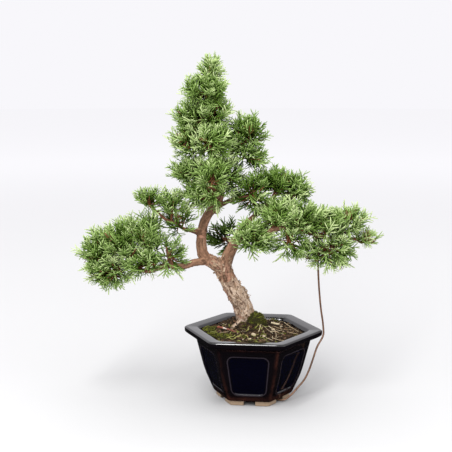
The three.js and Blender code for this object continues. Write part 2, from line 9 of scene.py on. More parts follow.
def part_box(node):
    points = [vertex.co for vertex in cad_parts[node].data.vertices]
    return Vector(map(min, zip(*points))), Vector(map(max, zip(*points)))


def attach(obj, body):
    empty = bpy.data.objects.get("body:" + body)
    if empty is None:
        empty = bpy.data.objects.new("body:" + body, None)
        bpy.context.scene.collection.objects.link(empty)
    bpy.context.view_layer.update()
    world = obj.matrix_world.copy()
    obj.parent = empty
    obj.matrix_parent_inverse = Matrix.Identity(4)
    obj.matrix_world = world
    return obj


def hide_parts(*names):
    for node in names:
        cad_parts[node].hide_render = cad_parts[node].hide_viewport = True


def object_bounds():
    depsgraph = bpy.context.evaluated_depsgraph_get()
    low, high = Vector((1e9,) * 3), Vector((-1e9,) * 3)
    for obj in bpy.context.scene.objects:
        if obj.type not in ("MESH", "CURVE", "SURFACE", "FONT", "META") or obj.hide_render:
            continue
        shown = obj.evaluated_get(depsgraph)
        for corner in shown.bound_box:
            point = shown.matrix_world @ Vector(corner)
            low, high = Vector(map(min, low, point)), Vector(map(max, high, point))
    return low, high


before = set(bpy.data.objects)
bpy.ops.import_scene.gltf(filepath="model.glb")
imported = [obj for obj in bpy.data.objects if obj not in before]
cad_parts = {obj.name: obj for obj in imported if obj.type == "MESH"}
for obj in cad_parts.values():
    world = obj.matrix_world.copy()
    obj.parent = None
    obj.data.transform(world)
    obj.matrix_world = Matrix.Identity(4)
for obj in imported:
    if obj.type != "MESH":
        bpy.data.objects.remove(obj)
SOLID_BOX = [list(corner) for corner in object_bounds()]

# Camera. It stands a little above the pot and looks slightly down on it.
# Places are millimetres from the pot's axis, with the table at z = 0.

MM = 0.001
POT_LOW, POT_HIGH = (Vector(corner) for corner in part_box("pot"))
POT_AXIS = Vector(((POT_LOW.x + POT_HIGH.x) / 2, (POT_LOW.y + POT_HIGH.y) / 2, 0))
CAMERA_PLACE = (-22.2, -801.9, 269.9)
CAMERA_PITCH = 9
SENSOR_WIDTH = 36
FOCAL_PIXELS = 1000
FRAME_PIXELS = 452


def at(x, y, z):
    return POT_AXIS + Vector((x, y, z)) * MM


def add_piece(name, data):
    """A new object of a mesh, a camera or a light, linked into the scene."""
    piece = bpy.data.objects.new(name, data)
    bpy.context.collection.objects.link(piece)
    return piece


camera_lens = bpy.data.cameras.new("camera")
camera_lens.sensor_width = SENSOR_WIDTH
camera_lens.lens = SENSOR_WIDTH * FOCAL_PIXELS / FRAME_PIXELS
camera = add_piece("camera", camera_lens)
camera.location = at(*CAMERA_PLACE)
camera.rotation_euler = (math.radians(90 - CAMERA_PITCH), 0, 0)
bpy.context.scene.camera = camera

# Studio. A pale floor under a pale sky, soft lights from the upper left front, from the right
# and from overhead, and a tall narrow one in front that draws the bright line on the lip.

FLOOR_RADIUS = 6
FLOOR_DROP = 0.0002
NEAR_FLOOR = 0.485
FAR_FLOOR = 0.98
FLOOR_FADE = (-0.3, 2.3)
DARK_FLOOR = 0.02
SKY_PAINT = (248, 247, 251)
SKY_STRENGTH = 1
LIT_POINT = (0, 0, 130)
SOFT_LIGHTS = {
    "key_light": {"place": (-650, -700, 900), "size": 0.7, "watts": 2},
    "side_light": {"place": (900, -350, 500), "size": 0.8, "watts": 2.5},
    "top_light": {"place": (0, 250, 1000), "size": 0.9, "watts": 4},
    "front_strip": {"place": (-225, -700, 850), "size": 0.12, "tall": 1.1, "watts": 11},
}


def paint(red, green, blue):
    """A colour given as on a screen, 0 to 255, as the light values that a shader takes."""
    shares = [value / 255 for value in (red, green, blue)]
    return tuple(s / 12.92 if s <= 0.04045 else ((s + 0.055) / 1.055) ** 2.4 for s in shares)


def add_node(tree, kind, inputs=None, **settings):
    """A shader node with its settings; each input is a value or another node's output."""
    made = tree.nodes.new("ShaderNode" + kind)
    for name, value in settings.items():
        setattr(made, name, value)
    for name, value in (inputs or {}).items():
        if isinstance(value, bpy.types.NodeSocket):
            tree.links.new(value, made.inputs[name])
        else:
            made.inputs[name].default_value = value
    return made


def reckon(tree, operation, *values):
    """A sum on shader values, such as ADD or MULTIPLY."""
    return add_node(tree, "Math", dict(enumerate(values)), operation=operation).outputs[0]


def own_place(tree):
    """Where each point lies in its piece, in metres, to lay a pattern on."""
    return add_node(tree, "TexCoord").outputs["Object"]


def map_range(tree, value, low, high, to_low=0.0, to_high=1.0, **settings):
    """A shader value stretched from one range to another, and held inside it."""
    ends = {"From Min": low, "From Max": high, "To Min": to_low, "To Max": to_high}
    return add_node(tree, "MapRange", {"Value": value, **ends}, **settings).outputs["Result"]


def set_colour(tree, shader, shade):
    tree.links.new(shade, shader.inputs["Base Color"])


def new_material(name, roughness, **sockets):
    """A material with a Principled shader, and the shader's uniform values set on its sockets."""
    material = bpy.data.materials.new(name)
    material.use_nodes = True
    shader = material.node_tree.nodes["Principled BSDF"]
    shader.inputs["Roughness"].default_value = roughness
    for socket, value in sockets.items():
        shader.inputs[socket.replace("_", " ")].default_value = value
    return material, material.node_tree, shader


def deselect_all():
    if bpy.context.object and bpy.context.object.mode != "OBJECT":
        bpy.ops.object.mode_set(mode="OBJECT")
    bpy.ops.object.select_all(action="DESELECT")


deselect_all()
bpy.ops.mesh.primitive_circle_add(
    vertices=96, radius=FLOOR_RADIUS, fill_type="NGON", location=(0, 0, -FLOOR_DROP)
)
floor = bpy.context.object
floor.name = "floor"
floor_material, tree, shader = new_material("pale_floor", 1, Specular_IOR_Level=0)
# It is a little darker round the pot, where the lights add to it, and dark in reflections
away = add_node(tree, "VectorMath", {0: own_place(tree)}, operation="LENGTH").outputs["Value"]
paleness = map_range(tree, away, *FLOOR_FADE, NEAR_FLOOR, FAR_FLOOR, interpolation_type="SMOOTHSTEP")
mirrored = add_node(tree, "LightPath").outputs["Is Glossy Ray"]
share = map_range(tree, mirrored, 0, 1, 1, DARK_FLOOR)
set_colour(tree, shader, reckon(tree, "MULTIPLY", paleness, share))
floor.data.materials.append(floor_material)

sky = bpy.data.worlds.new("pale_sky")
sky.use_nodes = True
sky.node_tree.nodes["Background"].inputs["Color"].default_value = (*paint(*SKY_PAINT), 1)
sky.node_tree.nodes["Background"].inputs["Strength"].default_value = SKY_STRENGTH
bpy.context.scene.world = sky
bpy.context.scene.view_settings.view_transform = "Standard"

for name, plan in SOFT_LIGHTS.items():
    panel = bpy.data.lights.new(name, "AREA")
    panel.shape = "RECTANGLE"
    panel.size = plan["size"]
    panel.size_y = plan.get("tall", plan["size"])
    panel.energy = plan["watts"]
    light = add_piece(name, panel)
    light.location = at(*plan["place"])
    towards = at(*LIT_POINT) - light.location
    light.rotation_euler = towards.to_track_quat("-Z", "Y").to_euler()

# Pot. Glazed stoneware pressed in a mould: a flared hexagon with a broad lip, a recessed
# panel with a raised bead on each side, short unglazed feet and a drain hole.

POT_TURN = math.radians(-7)
SIXTH = math.pi / 3
CORNER_SHARPNESS = 40
SPIN_STEPS = 456
MERGE_WITHIN = 0.01
BASE_Z = 4
FLOOR_Z = 8
DRAIN_HOLE_R = 6
ROUND_WITHIN_R = 12
OUTER_WALL = [(33, BASE_Z, 0.8), (35.2, 8.5, 3), (41.2, 22, 8), (47.6, 46, 6), (48.5, 50, 1.5)]
LIP = [(55.6, 52.2, 1.5), (57.9, 53.8, 1), (58, 57.2, 1), (56.6, 58, 1.4), (46.8, 57.3, 1.2)]
INNER_WALL = [(45, 54.8, 1.5), (44.4, 50, 2), (37, 22, 4), (29, FLOOR_Z, 2)]
FOOT = {"outer": 31, "inner": 25, "notch_half": 4.75, "notch_top": 4.3}
WALL_ROW = 0.5
PANEL = {"bottom": 10, "top": 44, "half_top": 16.6, "half_bottom": 13.2, "corner": 5}
PANEL_RECESS = 0.8
PANEL_STEP = 2
BEAD_HEIGHT = 0.35
BEAD_OUT = 0.35
BEAD_HALF_WIDTH = 0.9
WALL_TOP = 47
WALL_FOOT = 7
WALL_MIDDLE = {"at_foot": 26.5, "slope": 0.25}
DEEPEST = 3
THIN_AT_CORNER = {"width": 1.3, "below": 52, "share": 0.7}
THIN_UNDER_LIP = {"z": 50.6, "width": 1.2, "share": 0.7}
THIN_AT_FOOT = {"z": 6, "width": 2.2, "share": 0.8}
GLAZE_BLACK = (9, 6, 9)
GLAZE_COBALT = (2, 2, 13)
GLAZE_BROWN = (62, 34, 26)
BEAD_GLAZE_AND_HIGHLIGHT = (44, 39, 45)
CLAY = (150, 128, 104)
GLAZE_ROUGHNESS = 0.09
CLAY_ROUGHNESS = 0.85


def rounded_profile(points, arc_steps=4):
    """A profile of (radius, height) with each corner rounded by its own fillet length."""
    line = []
    for i, (r, z, fillet) in enumerate(points):
        here = Vector((r, z))
        back = Vector(points[i - 1][:2]) - here
        ahead = Vector(points[(i + 1) % len(points)][:2]) - here
        reach = min(fillet, back.length * 0.45, ahead.length * 0.45)
        start = here + back.normalized() * reach
        end = here + ahead.normalized() * reach
        for k in range(arc_steps + 1):
            t = k / arc_steps
            line.append(start * (1 - t) ** 2 + here * 2 * t * (1 - t) + end * t**2)
    return line


def dense_profile(line, low, high, row):
    """Puts more points into the rising stretches between two heights, one every row."""
    dense = []
    for here, following in zip(line, line[1:]):
        dense.append(here)
        gap = following - here
        within = low < here.y < following.y < high
        steps = math.ceil(gap.length / row) if within else 1
        dense.extend(here + gap * (k / steps) for k in range(1, steps))
    dense.append(line[-1])
    return dense


def select_only(piece):
    deselect_all()
    piece.select_set(True)
    bpy.context.view_layer.objects.active = piece


def smooth(piece):
    select_only(piece)
    bpy.ops.object.shade_smooth()


def spin_profile(name, line, closed):
    """Spins a profile round the pot's axis. A profile that isn't closed starts and ends on it."""
    mesh = bpy.data.meshes.new(name)
    piece = add_piece(name, mesh)
    edges = [(i, i + 1) for i in range(len(line) - 1)]
    if closed:
        edges.append((len(line) - 1, 0))
    mesh.from_pydata([at(p.x, 0, p.y) for p in line], edges, [])
    select_only(piece)
    bpy.ops.object.mode_set(mode="EDIT")
    bpy.ops.mesh.select_all(action="SELECT")
    bpy.ops.mesh.spin(steps=SPIN_STEPS, angle=2 * math.pi, center=POT_AXIS, axis=(0, 0, 1))
    bpy.ops.mesh.select_all(action="SELECT")
    bpy.ops.mesh.remove_doubles(threshold=MERGE_WITHIN * MM)
    bpy.ops.mesh.normals_make_consistent(inside=False)
    bpy.ops.object.mode_set(mode="OBJECT")
    return piece


def points_of(piece):
    """A piece's points in millimetres from the pot's axis, one row each."""
    flat = np.empty(len(piece.data.vertices) * 3)
    piece.data.vertices.foreach_get("co", flat)
    return (flat.reshape(-1, 3) - np.array(POT_AXIS)) / MM


def set_points(piece, points):
    piece.data.vertices.foreach_set("co", (points * MM + np.array(POT_AXIS)).ravel())
    piece.data.update()


def hexagon_factor(angle):
    """Turns a corner radius into the radius in a direction, on a hexagon with soft corners."""
    from_corner = np.mod(angle, SIXTH)
    sides = sum(
        np.maximum(0, np.cos(from_corner - SIXTH * middle)) ** CORNER_SHARPNESS
        for middle in (0.5, 1.5, -0.5)
    )
    return math.cos(SIXTH / 2) / sides ** (1 / CORNER_SHARPNESS)


def angle_in_pot(points):
    """The direction of each point from the pot's axis, measured from one of its corners."""
    return np.arctan2(points[:, 1], points[:, 0]) - POT_TURN


def make_hexagonal(points):
    """Pulls a round form out into the pot's hexagon, apart from what lies close to the axis."""
    radius = np.hypot(points[:, 0], points[:, 1])
    share = np.clip(radius / ROUND_WITHIN_R - 1, 0, 1)
    factor = 1 + (hexagon_factor(angle_in_pot(points)) - 1) * share
    points[:, :2] *= factor[:, None]
    return points


def across_face(points):
    """How far each point lies from the middle line of its face, and that face's direction."""
    face = (np.floor(angle_in_pot(points) / SIXTH) + 0.5) * SIXTH + POT_TURN
    across = points[:, 1] * np.cos(face) - points[:, 0] * np.sin(face)
    return across, face


def inside_panel(across, height):
    """Distance in from the edge of the panel's round-cornered outline, negative outside it."""
    rise = (height - PANEL["bottom"]) / (PANEL["top"] - PANEL["bottom"])
    half = PANEL["half_bottom"] + (PANEL["half_top"] - PANEL["half_bottom"]) * rise
    from_side = half - np.abs(across)
    from_end = np.minimum(height - PANEL["bottom"], PANEL["top"] - height)
    corner = PANEL["corner"]
    in_corner = (from_side < corner) & (from_end < corner)
    round_edge = corner - np.hypot(corner - from_side, corner - from_end)
    return np.where(in_corner, round_edge, np.minimum(from_side, from_end))


def store(piece, name, values):
    layer = piece.data.attributes.new(name, "FLOAT", "POINT")
    layer.data.foreach_set("value", np.asarray(values, dtype=np.float32))


foot_profile = [
    (FOOT["inner"], BASE_Z, 0.5), (FOOT["inner"], 0, 0.5),
    (FOOT["outer"], 0, 0.7), (FOOT["outer"], BASE_Z, 0.4),
]
hole_profile = [(DRAIN_HOLE_R, FLOOR_Z, 0.6), (DRAIN_HOLE_R, BASE_Z, 0.6)]
pot_profile = rounded_profile(foot_profile + OUTER_WALL + LIP + INNER_WALL + hole_profile)
pot_profile = dense_profile(pot_profile, WALL_FOOT, WALL_TOP, WALL_ROW)
pot = spin_profile("glazed_pot", pot_profile, closed=True)
form = make_hexagonal(points_of(pot))
across, face = across_face(form)
radius = np.hypot(form[:, 0], form[:, 1])
in_notch = (np.abs(across) < FOOT["notch_half"]) & (radius > DRAIN_HOLE_R + 4)
form[:, 2] = np.where(in_notch & (form[:, 2] < FOOT["notch_top"]), FOOT["notch_top"], form[:, 2])
height = form[:, 2]
# The outer face of the wall lies outside a cone that runs up through the wall's middle
outside = radius > height * WALL_MIDDLE["slope"] + WALL_MIDDLE["at_foot"]
on_wall = (height > WALL_FOOT) & (height < WALL_TOP) & outside
depth = inside_panel(across, height)
step_in = np.clip(depth / PANEL_STEP + 0.1, 0, 1)
relief = BEAD_HEIGHT * np.exp(-(((depth + BEAD_OUT) / BEAD_HALF_WIDTH) ** 2))
relief = relief - PANEL_RECESS * step_in**2 * (3 - 2 * step_in)
relief = np.where(on_wall, relief, 0)
form[:, 0] += relief * np.cos(face)
form[:, 1] += relief * np.sin(face)
set_points(pot, form)
smooth(pot)

# Where the glaze ran thin it shows the brown clay: at the corners, under the lip and at the foot
to_corner = np.abs(np.mod(angle_in_pot(form) + SIXTH / 2, SIXTH) - SIXTH / 2)
corner_line = np.exp(-((to_corner * radius / THIN_AT_CORNER["width"]) ** 2))
thin = THIN_AT_CORNER["share"] * corner_line * (height < THIN_AT_CORNER["below"])
for band in (THIN_UNDER_LIP, THIN_AT_FOOT):
    thin = thin + band["share"] * np.exp(-(((height - band["z"]) / band["width"]) ** 2))
store(pot, "thin_glaze", np.clip(thin, 0, 1))
store(pot, "panel_depth", np.where(on_wall, np.clip(depth, -DEEPEST, DEEPEST), -DEEPEST))
store(pot, "bare_clay", np.clip((BASE_Z + 0.4 - height) / 0.5, 0, 1))


def mottle_group():
    """Uneven colour in natural things: a coarse and a fine pattern, mixed to one mask."""
    group = bpy.data.node_groups.new("mottle", "ShaderNodeTree")
    sockets = group.interface
    sockets.new_socket("Vector", in_out="INPUT", socket_type="NodeSocketVector")
    sockets.new_socket("Coarse", in_out="INPUT", socket_type="NodeSocketFloat")
    sockets.new_socket("Fine", in_out="INPUT", socket_type="NodeSocketFloat")
    sockets.new_socket("Mask", in_out="OUTPUT", socket_type="NodeSocketFloat")
    start = group.nodes.new("NodeGroupInput")
    end = group.nodes.new("NodeGroupOutput")
    patterns = []
    for size, detail in (("Coarse", 3.0), ("Fine", 5.0)):
        inputs = {"Vector": start.outputs["Vector"], "Scale": start.outputs[size], "Detail": detail}
        patterns.append(add_node(group, "TexNoise", inputs).outputs["Fac"])
    mask = map_range(group, reckon(group, "ADD", *patterns), 0.75, 1.25)
    group.links.new(mask, end.inputs["Mask"])
    return group


MOTTLE = mottle_group()


def mottle(tree, coarse, fine, vector=None):
    """The mottle mask; coarse and fine are patches to the metre, unless a vector is given."""
    if vector is None:
        vector = own_place(tree)
    made = tree.nodes.new("ShaderNodeGroup")
    made.node_tree = MOTTLE
    tree.links.new(vector, made.inputs["Vector"])
    made.inputs["Coarse"].default_value = coarse
    made.inputs["Fine"].default_value = fine
    return made.outputs["Mask"]


def mix_colours(tree, share, first, second):
    """A blend of two colours; each is as on a screen, 0 to 255, or a node's output."""
    made = add_node(tree, "Mix", data_type="RGBA")
    for socket, value in ((made.inputs[0], share), (made.inputs[6], first), (made.inputs[7], second)):
        if isinstance(value, bpy.types.NodeSocket):
            tree.links.new(value, socket)
        elif isinstance(value, tuple):
            socket.default_value = (*paint(*value), 1)
        else:
            socket.default_value = value
    return made.outputs[2]


def attribute(tree, name):
    return add_node(tree, "Attribute", attribute_name=name).outputs["Fac"]


def bump(tree, shader, height, strength, distance):
    made = add_node(tree, "Bump", {"Height": height, "Strength": strength, "Distance": distance})
    tree.links.new(made.outputs["Normal"], shader.inputs["Normal"])


glaze, tree, shader = new_material("cobalt_glaze", GLAZE_ROUGHNESS, IOR=1.58)
panel_depth = attribute(tree, "panel_depth")
body = mix_colours(tree, map_range(tree, panel_depth, 0, 1.5), GLAZE_BLACK, GLAZE_COBALT)
# The bead is painted lighter: partly glaze that runs thin on it, partly painted highlight where it catches
# the light.
from_bead = reckon(tree, "ABSOLUTE", reckon(tree, "ADD", panel_depth, BEAD_OUT))
body = mix_colours(tree, map_range(tree, from_bead, 0.7, 0.15), body, BEAD_GLAZE_AND_HIGHLIGHT)
thin_share = reckon(tree, "MULTIPLY", attribute(tree, "thin_glaze"), mottle(tree, 60, 200))
body = mix_colours(tree, thin_share, body, GLAZE_BROWN)
bare = attribute(tree, "bare_clay")
set_colour(tree, shader, mix_colours(tree, bare, body, CLAY))
rough = map_range(tree, bare, 0, 1, GLAZE_ROUGHNESS, CLAY_ROUGHNESS)
tree.links.new(rough, shader.inputs["Roughness"])
orange_peel = add_node(tree, "TexNoise", {"Vector": own_place(tree), "Scale": 220.0})
bump(tree, shader, orange_peel.outputs["Fac"], 0.05, 0.001)
pot.data.materials.append(glaze)
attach(pot, "root")
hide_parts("pot")

# Drain mesh. A square of black plastic net that keeps the soil in; it lies under the soil
# and shows only through the hole in the pot's floor.

NET_COLOURS = ((24, 26, 25), (44, 45, 42))
net, tree, shader = new_material("black_net", 0.6)
set_colour(tree, shader, mix_colours(tree, mottle(tree, 300, 2500), *NET_COLOURS))
drain_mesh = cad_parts["drain_mesh"]
drain_mesh.data.materials.clear()
drain_mesh.data.materials.append(net)

# Soil. A mix of grit and dark crumbs, heaped a little round the trunk. The bed is one form,
# and the larger grains lie on it one by one.

GAP = 0.3
SOIL_EDGE_Z = 54
SOIL_EDGE_R = 44.6
SOIL_CREST = 9
SOIL_CREST_WIDTH = 19
TRUNK_FOOT = (-5, 14)
SOIL_ROW = 1.05
GRAINS = 2350
GRAIN_SIZES = (0.35, 1.15)
GRAIN_SHAPES = 5
PALE_LUMPS = [(0, -14, 2), (16.5, 0, 1.6), (8.6, -16, 1.7), (-3, -24, 1.3), (24, 12, 1.4)]
EARTH_COLOURS = ((26, 19, 12), (84, 66, 44))
GRIT_COLOURS = [
    (0.0, (26, 19, 12)), (0.5, (52, 39, 25)), (0.75, (80, 62, 41)), (0.9, (112, 91, 66)),
    (0.97, (98, 58, 40)), (1.0, (182, 166, 140)),
]


def soil_height(x, y):
    """The soil's surface, before its crumbs."""
    from_trunk = np.hypot(x - TRUNK_FOOT[0], y - TRUNK_FOOT[1])
    mound = SOIL_CREST * np.exp(-((from_trunk / SOIL_CREST_WIDTH) ** 2))
    waves = 0.7 * np.sin(x / 4.1) * np.cos(y / 3.7) + 0.5 * np.sin((x + y) / 6.3)
    return SOIL_EDGE_Z + mound + waves


soil_profile = [Vector((0, FLOOR_Z + GAP))]
soil_profile += [Vector((r - GAP, max(z, FLOOR_Z + GAP))) for r, z, fillet in reversed(INNER_WALL)][:-1]
soil_profile += [
    Vector((SOIL_EDGE_R - GAP - SOIL_ROW * k, SOIL_EDGE_Z)) for k in range(int(SOIL_EDGE_R / SOIL_ROW))
]
soil_profile.append(Vector((0, SOIL_EDGE_Z)))
soil = spin_profile("soil_bed", soil_profile, closed=False)
form = make_hexagonal(points_of(soil))
on_top = form[:, 2] > SOIL_EDGE_Z - 1
crumbs = np.array(
    [1.3 * noise.fractal(Vector(p) * 0.45, 1, 2, 4) + 0.5 * noise.noise(Vector(p) * 1.7) for p in form]
)
form[:, 2] = np.where(on_top, soil_height(form[:, 0], form[:, 1]) + crumbs - 0.3, form[:, 2])
set_points(soil, form)
smooth(soil)

earth, tree, shader = new_material("bonsai_soil", 0.95, Specular_IOR_Level=0.2)
set_colour(tree, shader, mix_colours(tree, mottle(tree, 260, 1800), *EARTH_COLOURS))
bump(tree, shader, mottle(tree, 900, 3800), 0.8, 0.0006)
soil.data.materials.append(earth)
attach(soil, "root")
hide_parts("soil")


def modelled(piece):
    """Takes a modelled piece's shape, as points and faces, and removes the piece."""
    points = np.array([vertex.co[:] for vertex in piece.data.vertices])
    faces = [tuple(face.vertices) for face in piece.data.polygons]
    bpy.data.objects.remove(piece)
    return points, faces


def planted(name, shapes, placements):
    """One piece of many copies. Each placement is a shape's number, its matrix and a tone, which in the
    sprays also holds painted shade.
    """
    points, faces, tones, ages = [], [], [], []
    count = 0
    for number, matrix, tone_and_shade in placements:
        shape_points, shape_faces, shape_ages = shapes[number]
        turn = np.array(matrix)
        points.append(shape_points @ turn[:3, :3].T + turn[:3, 3])
        faces.extend(tuple(count + corner for corner in corners) for corners in shape_faces)
        tones.append(np.full(len(shape_points), tone_and_shade))
        ages.append(shape_ages)
        count += len(shape_points)
    mesh = bpy.data.meshes.new(name)
    mesh.from_pydata(np.concatenate(points).tolist(), [], faces)
    piece = add_piece(name, mesh)
    store(piece, "tone_and_shade", np.concatenate(tones))
    store(piece, "age", np.concatenate(ages))
    return piece


def grain_shape(seed):
    """A lump of grit: a small ball, pushed out of round."""
    draw = random.Random(seed)
    deselect_all()
    bpy.ops.mesh.primitive_ico_sphere_add(subdivisions=1, radius=1)
    bpy.ops.object.mode_set(mode="EDIT")
    bpy.ops.transform.vertex_random(offset=0.32, seed=seed)
    bpy.ops.transform.resize(value=(1, draw.uniform(0.65, 0.95), draw.uniform(0.55, 0.8)))
    bpy.ops.object.mode_set(mode="OBJECT")
    points, faces = modelled(bpy.context.object)
    return points, faces, np.zeros(len(points))


def in_pot(x, y, margin):
    """Whether a place on the soil lies inside the pot's wall by a margin."""
    angle = math.atan2(y, x) - POT_TURN
    return math.hypot(x, y) < (SOIL_EDGE_R - margin) * float(hexagon_factor(np.array([angle]))[0])


def soil_spot(draw, margin=1.5, clear=10):
    """A drawn place on the soil, clear of the trunk's foot."""
    while True:
        x, y = draw.uniform(-SOIL_EDGE_R, SOIL_EDGE_R), draw.uniform(-SOIL_EDGE_R, SOIL_EDGE_R)
        if in_pot(x, y, margin) and math.hypot(x - TRUNK_FOOT[0], y - TRUNK_FOOT[1]) > clear:
            return x, y


def set_down(place, turn, size):
    """The matrix of a copy that stands at a place, turned, with its size in millimetres."""
    return Matrix.Translation(place) @ turn @ Matrix.Scale(size * MM, 4)


def random_turn(draw):
    upright, tipped = (Matrix.Rotation(draw.uniform(0, 2 * math.pi), 4, axis) for axis in "ZX")
    return upright @ tipped


draw = random.Random(41)
grain_shapes = [grain_shape(seed) for seed in range(GRAIN_SHAPES)]
grain_places = []
for i in range(GRAINS):
    x, y = soil_spot(draw)
    size = GRAIN_SIZES[0] + (GRAIN_SIZES[1] - GRAIN_SIZES[0]) * draw.random() ** 2.5
    z = float(soil_height(x, y)) + size * 0.5 + draw.uniform(-0.5, 0.4)
    spot = set_down(at(x, y, z), random_turn(draw), size)
    grain_places.append((i % GRAIN_SHAPES, spot, draw.random()))
for i, (x, y, size) in enumerate(PALE_LUMPS):
    spot = set_down(at(x, y, float(soil_height(x, y)) + size * 0.7), Matrix.Identity(4), size)
    grain_places.append((i % GRAIN_SHAPES, spot, 1))
grains = planted("soil_grains", grain_shapes, grain_places)


def ramp(tree, value, stops):
    """Colours along a value, each stop a place from 0 to 1 and a colour."""
    made = add_node(tree, "ValToRGB", {"Fac": value})
    scale = made.color_ramp
    while len(scale.elements) < len(stops):
        scale.elements.new(0.5)
    for element, (place, shade) in zip(scale.elements, stops):
        element.position = place
        element.color = (*paint(*shade), 1)
    return made.outputs["Color"]


grit, tree, shader = new_material("grit", 0.9, Specular_IOR_Level=0.25)
set_colour(tree, shader, ramp(tree, attribute(tree, "tone_and_shade"), GRIT_COLOURS))
bump(tree, shader, mottle(tree, 1500, 5000), 0.5, 0.0003)
grains.data.materials.append(grit)
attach(grains, "root")

# Litter. Dry straws and rootlets on the soil, most of them at the right, a few green needles,
# and one broken twig in front that is red brown at both ends and white where its bark is gone.

STRAWS = 26
NEEDLES = 40
PLACED_STRAWS = [
    [(3.5, 17), (6.5, 6), (9, -9)], [(4.5, -8), (7, 3), (8.6, 13)], [(27, 22), (33, 9), (37.5, -3)],
    [(28, -4), (37, -9)], [(13, 5), (19, -3), (25, -13)], [(14, -8), (19, -4), (24, 3)],
    [(18, 8), (27, 4), (33, 6)], [(15, -20), (20, -24), (24, -29)], [(10, -22), (15, -27)],
]
PALE_STICK = [(16, 19), (19, 17.5), (22.5, 16)]
TWIG_BIT = [(-29.5, 1, 58.4), (-25.5, -2, 58.6), (-21.5, -6, 58.4), (-17.5, -9.5, 58.2), (-14, -14, 57.6)]
TWIG_BIT_R = 0.66
STRAW_COLOURS = [(0.0, (96, 72, 46)), (0.5, (146, 120, 84)), (1.0, (214, 198, 164))]
NEEDLE_COLOURS = [(0.0, (88, 92, 34)), (0.6, (134, 138, 62)), (1.0, (170, 164, 96))]
TWIG_COLOURS = [
    (0.0, (138, 72, 54)), (0.3, (152, 82, 62)), (0.36, (214, 198, 184)), (0.46, (220, 206, 192)),
    (0.52, (132, 74, 56)), (1.0, (104, 62, 46)),
]


def through(points, spans=6):
    """A smooth line through points, the same centripetal curve that the solids' limbs follow."""
    line = []
    for i in range(len(points) - 1):
        here, following = points[i], points[i + 1]
        before = points[i - 1] if i else here * 2 - following
        after = points[i + 2] if i + 2 < len(points) else following * 2 - here
        knots = (before, here, following, after)
        step_0, step_1, step_2 = (max((b - a).length, 1e-6) ** 0.5 for a, b in zip(knots, knots[1:]))
        onward = (following - here) / step_1
        leave = (here - before) / step_0 - (following - before) / (step_0 + step_1) + onward
        reach = onward - (after - here) / (step_1 + step_2) + (after - following) / step_2
        leave, reach = leave * step_1, reach * step_1
        for k in range(spans):
            t = k / spans
            line.append(
                here * (2 * t**3 - 3 * t**2 + 1) + following * (3 * t**2 - 2 * t**3)
                + leave * (t**3 - 2 * t**2 + t) + reach * (t**3 - t**2)
            )
    line.append(points[-1])
    return line


def ways_along(line, normal=None):
    """Each point of a line, with the line's direction there and two directions across it."""
    for i, centre in enumerate(line):
        tangent = (line[min(i + 1, len(line) - 1)] - line[max(i - 1, 0)]).normalized()
        if normal is None:
            normal = tangent.orthogonal()
        normal = (normal - tangent * normal.dot(tangent)).normalized()
        yield i, centre, tangent, normal, tangent.cross(normal)


def stem(line, radii, sides):
    """A closed tube along a line: its points, its faces, and how far along each point lies."""
    points, faces, ages = [], [], []
    for i, centre, tangent, normal, side in ways_along(line):
        for k in range(sides):
            turn = 2 * math.pi * k / sides
            points.append(centre + (normal * math.cos(turn) + side * math.sin(turn)) * radii[i])
            ages.append(i / (len(line) - 1))
    for i in range(len(line) - 1):
        for k in range(sides):
            a, b = i * sides + k, i * sides + (k + 1) % sides
            faces.append((a, b, b + sides, a + sides))
    faces.append(tuple(reversed(range(sides))))
    faces.append(tuple(len(points) - sides + k for k in range(sides)))
    return np.array([p[:] for p in points]), faces, np.array(ages)


def joined(name, parts):
    """One piece of several shapes that are already in place, each with a tone."""
    identity = Matrix.Identity(4)
    shapes = [shape for shape, tone_and_shade in parts]
    return planted(name, shapes, [(i, identity, tone_and_shade) for i, (shape, tone_and_shade) in enumerate(parts)])


def lying_line(points, lift):
    """A smooth line over the soil through the given places."""
    return through([at(x, y, float(soil_height(x, y)) + lift) for x, y in points], 4)


def straw_shape(draw, x, y, length, thick, lift):
    """A thin dry straw that lies on the soil and bends a little."""
    turn = draw.uniform(0, 2 * math.pi)
    bend = draw.uniform(-0.9, 0.9)
    line = []
    for k in range(4):
        out = length * (k / 3 - 0.5)
        heading = turn + bend * (k / 3 - 0.5)
        px, py = x + out * math.cos(heading), y + out * math.sin(heading)
        if not in_pot(px, py, 0.8):
            return None
        z = float(soil_height(px, py)) + 0.5 + lift * draw.random()
        line.append(at(px, py, z))
    smooth = through(line, 2)
    radii = [thick * MM * (1 - 0.5 * i / len(smooth)) for i in range(len(smooth))]
    return stem(smooth, radii, 4)


draw = random.Random(57)
straws = []
while len(straws) < STRAWS:
    x, y = soil_spot(draw, 3)
    if x < 4 and draw.random() < 0.72:
        continue
    shape = straw_shape(draw, x, y, draw.uniform(4, 16), draw.uniform(0.12, 0.26), 1.6)
    if shape:
        straws.append((shape, draw.random()))
for points in PLACED_STRAWS:
    line = lying_line(points, draw.uniform(1, 1.8))
    radii = [draw.uniform(0.2, 0.28) * MM * (1 - 0.4 * i / len(line)) for i in range(len(line))]
    straws.append((stem(line, radii, 6), draw.uniform(0.6, 1)))
line = lying_line(PALE_STICK, 1.4)
straws.append((stem(line, [0.75 * MM] * len(line), 8), 1))
straw_litter = joined("dry_straws", straws)
needles = []
while len(needles) < NEEDLES:
    x, y = soil_spot(draw, 3)
    if x > 12 or y > 8:
        continue
    shape = straw_shape(draw, x, y, draw.uniform(3, 10), draw.uniform(0.2, 0.36), 1.4)
    if shape:
        needles.append((shape, draw.random()))
needle_litter = joined("fallen_needles", needles)
twig_line = through([at(*p) for p in TWIG_BIT], 5)
twig_radii = [(TWIG_BIT_R + 0.16 * math.sin(i * 1.3)) * MM for i in range(len(twig_line))]
twig_radii[0] *= 0.6
twig_radii[-1] *= 0.6
broken_twig = joined("broken_twig", [(stem(twig_line, twig_radii, 8), 0.5)])

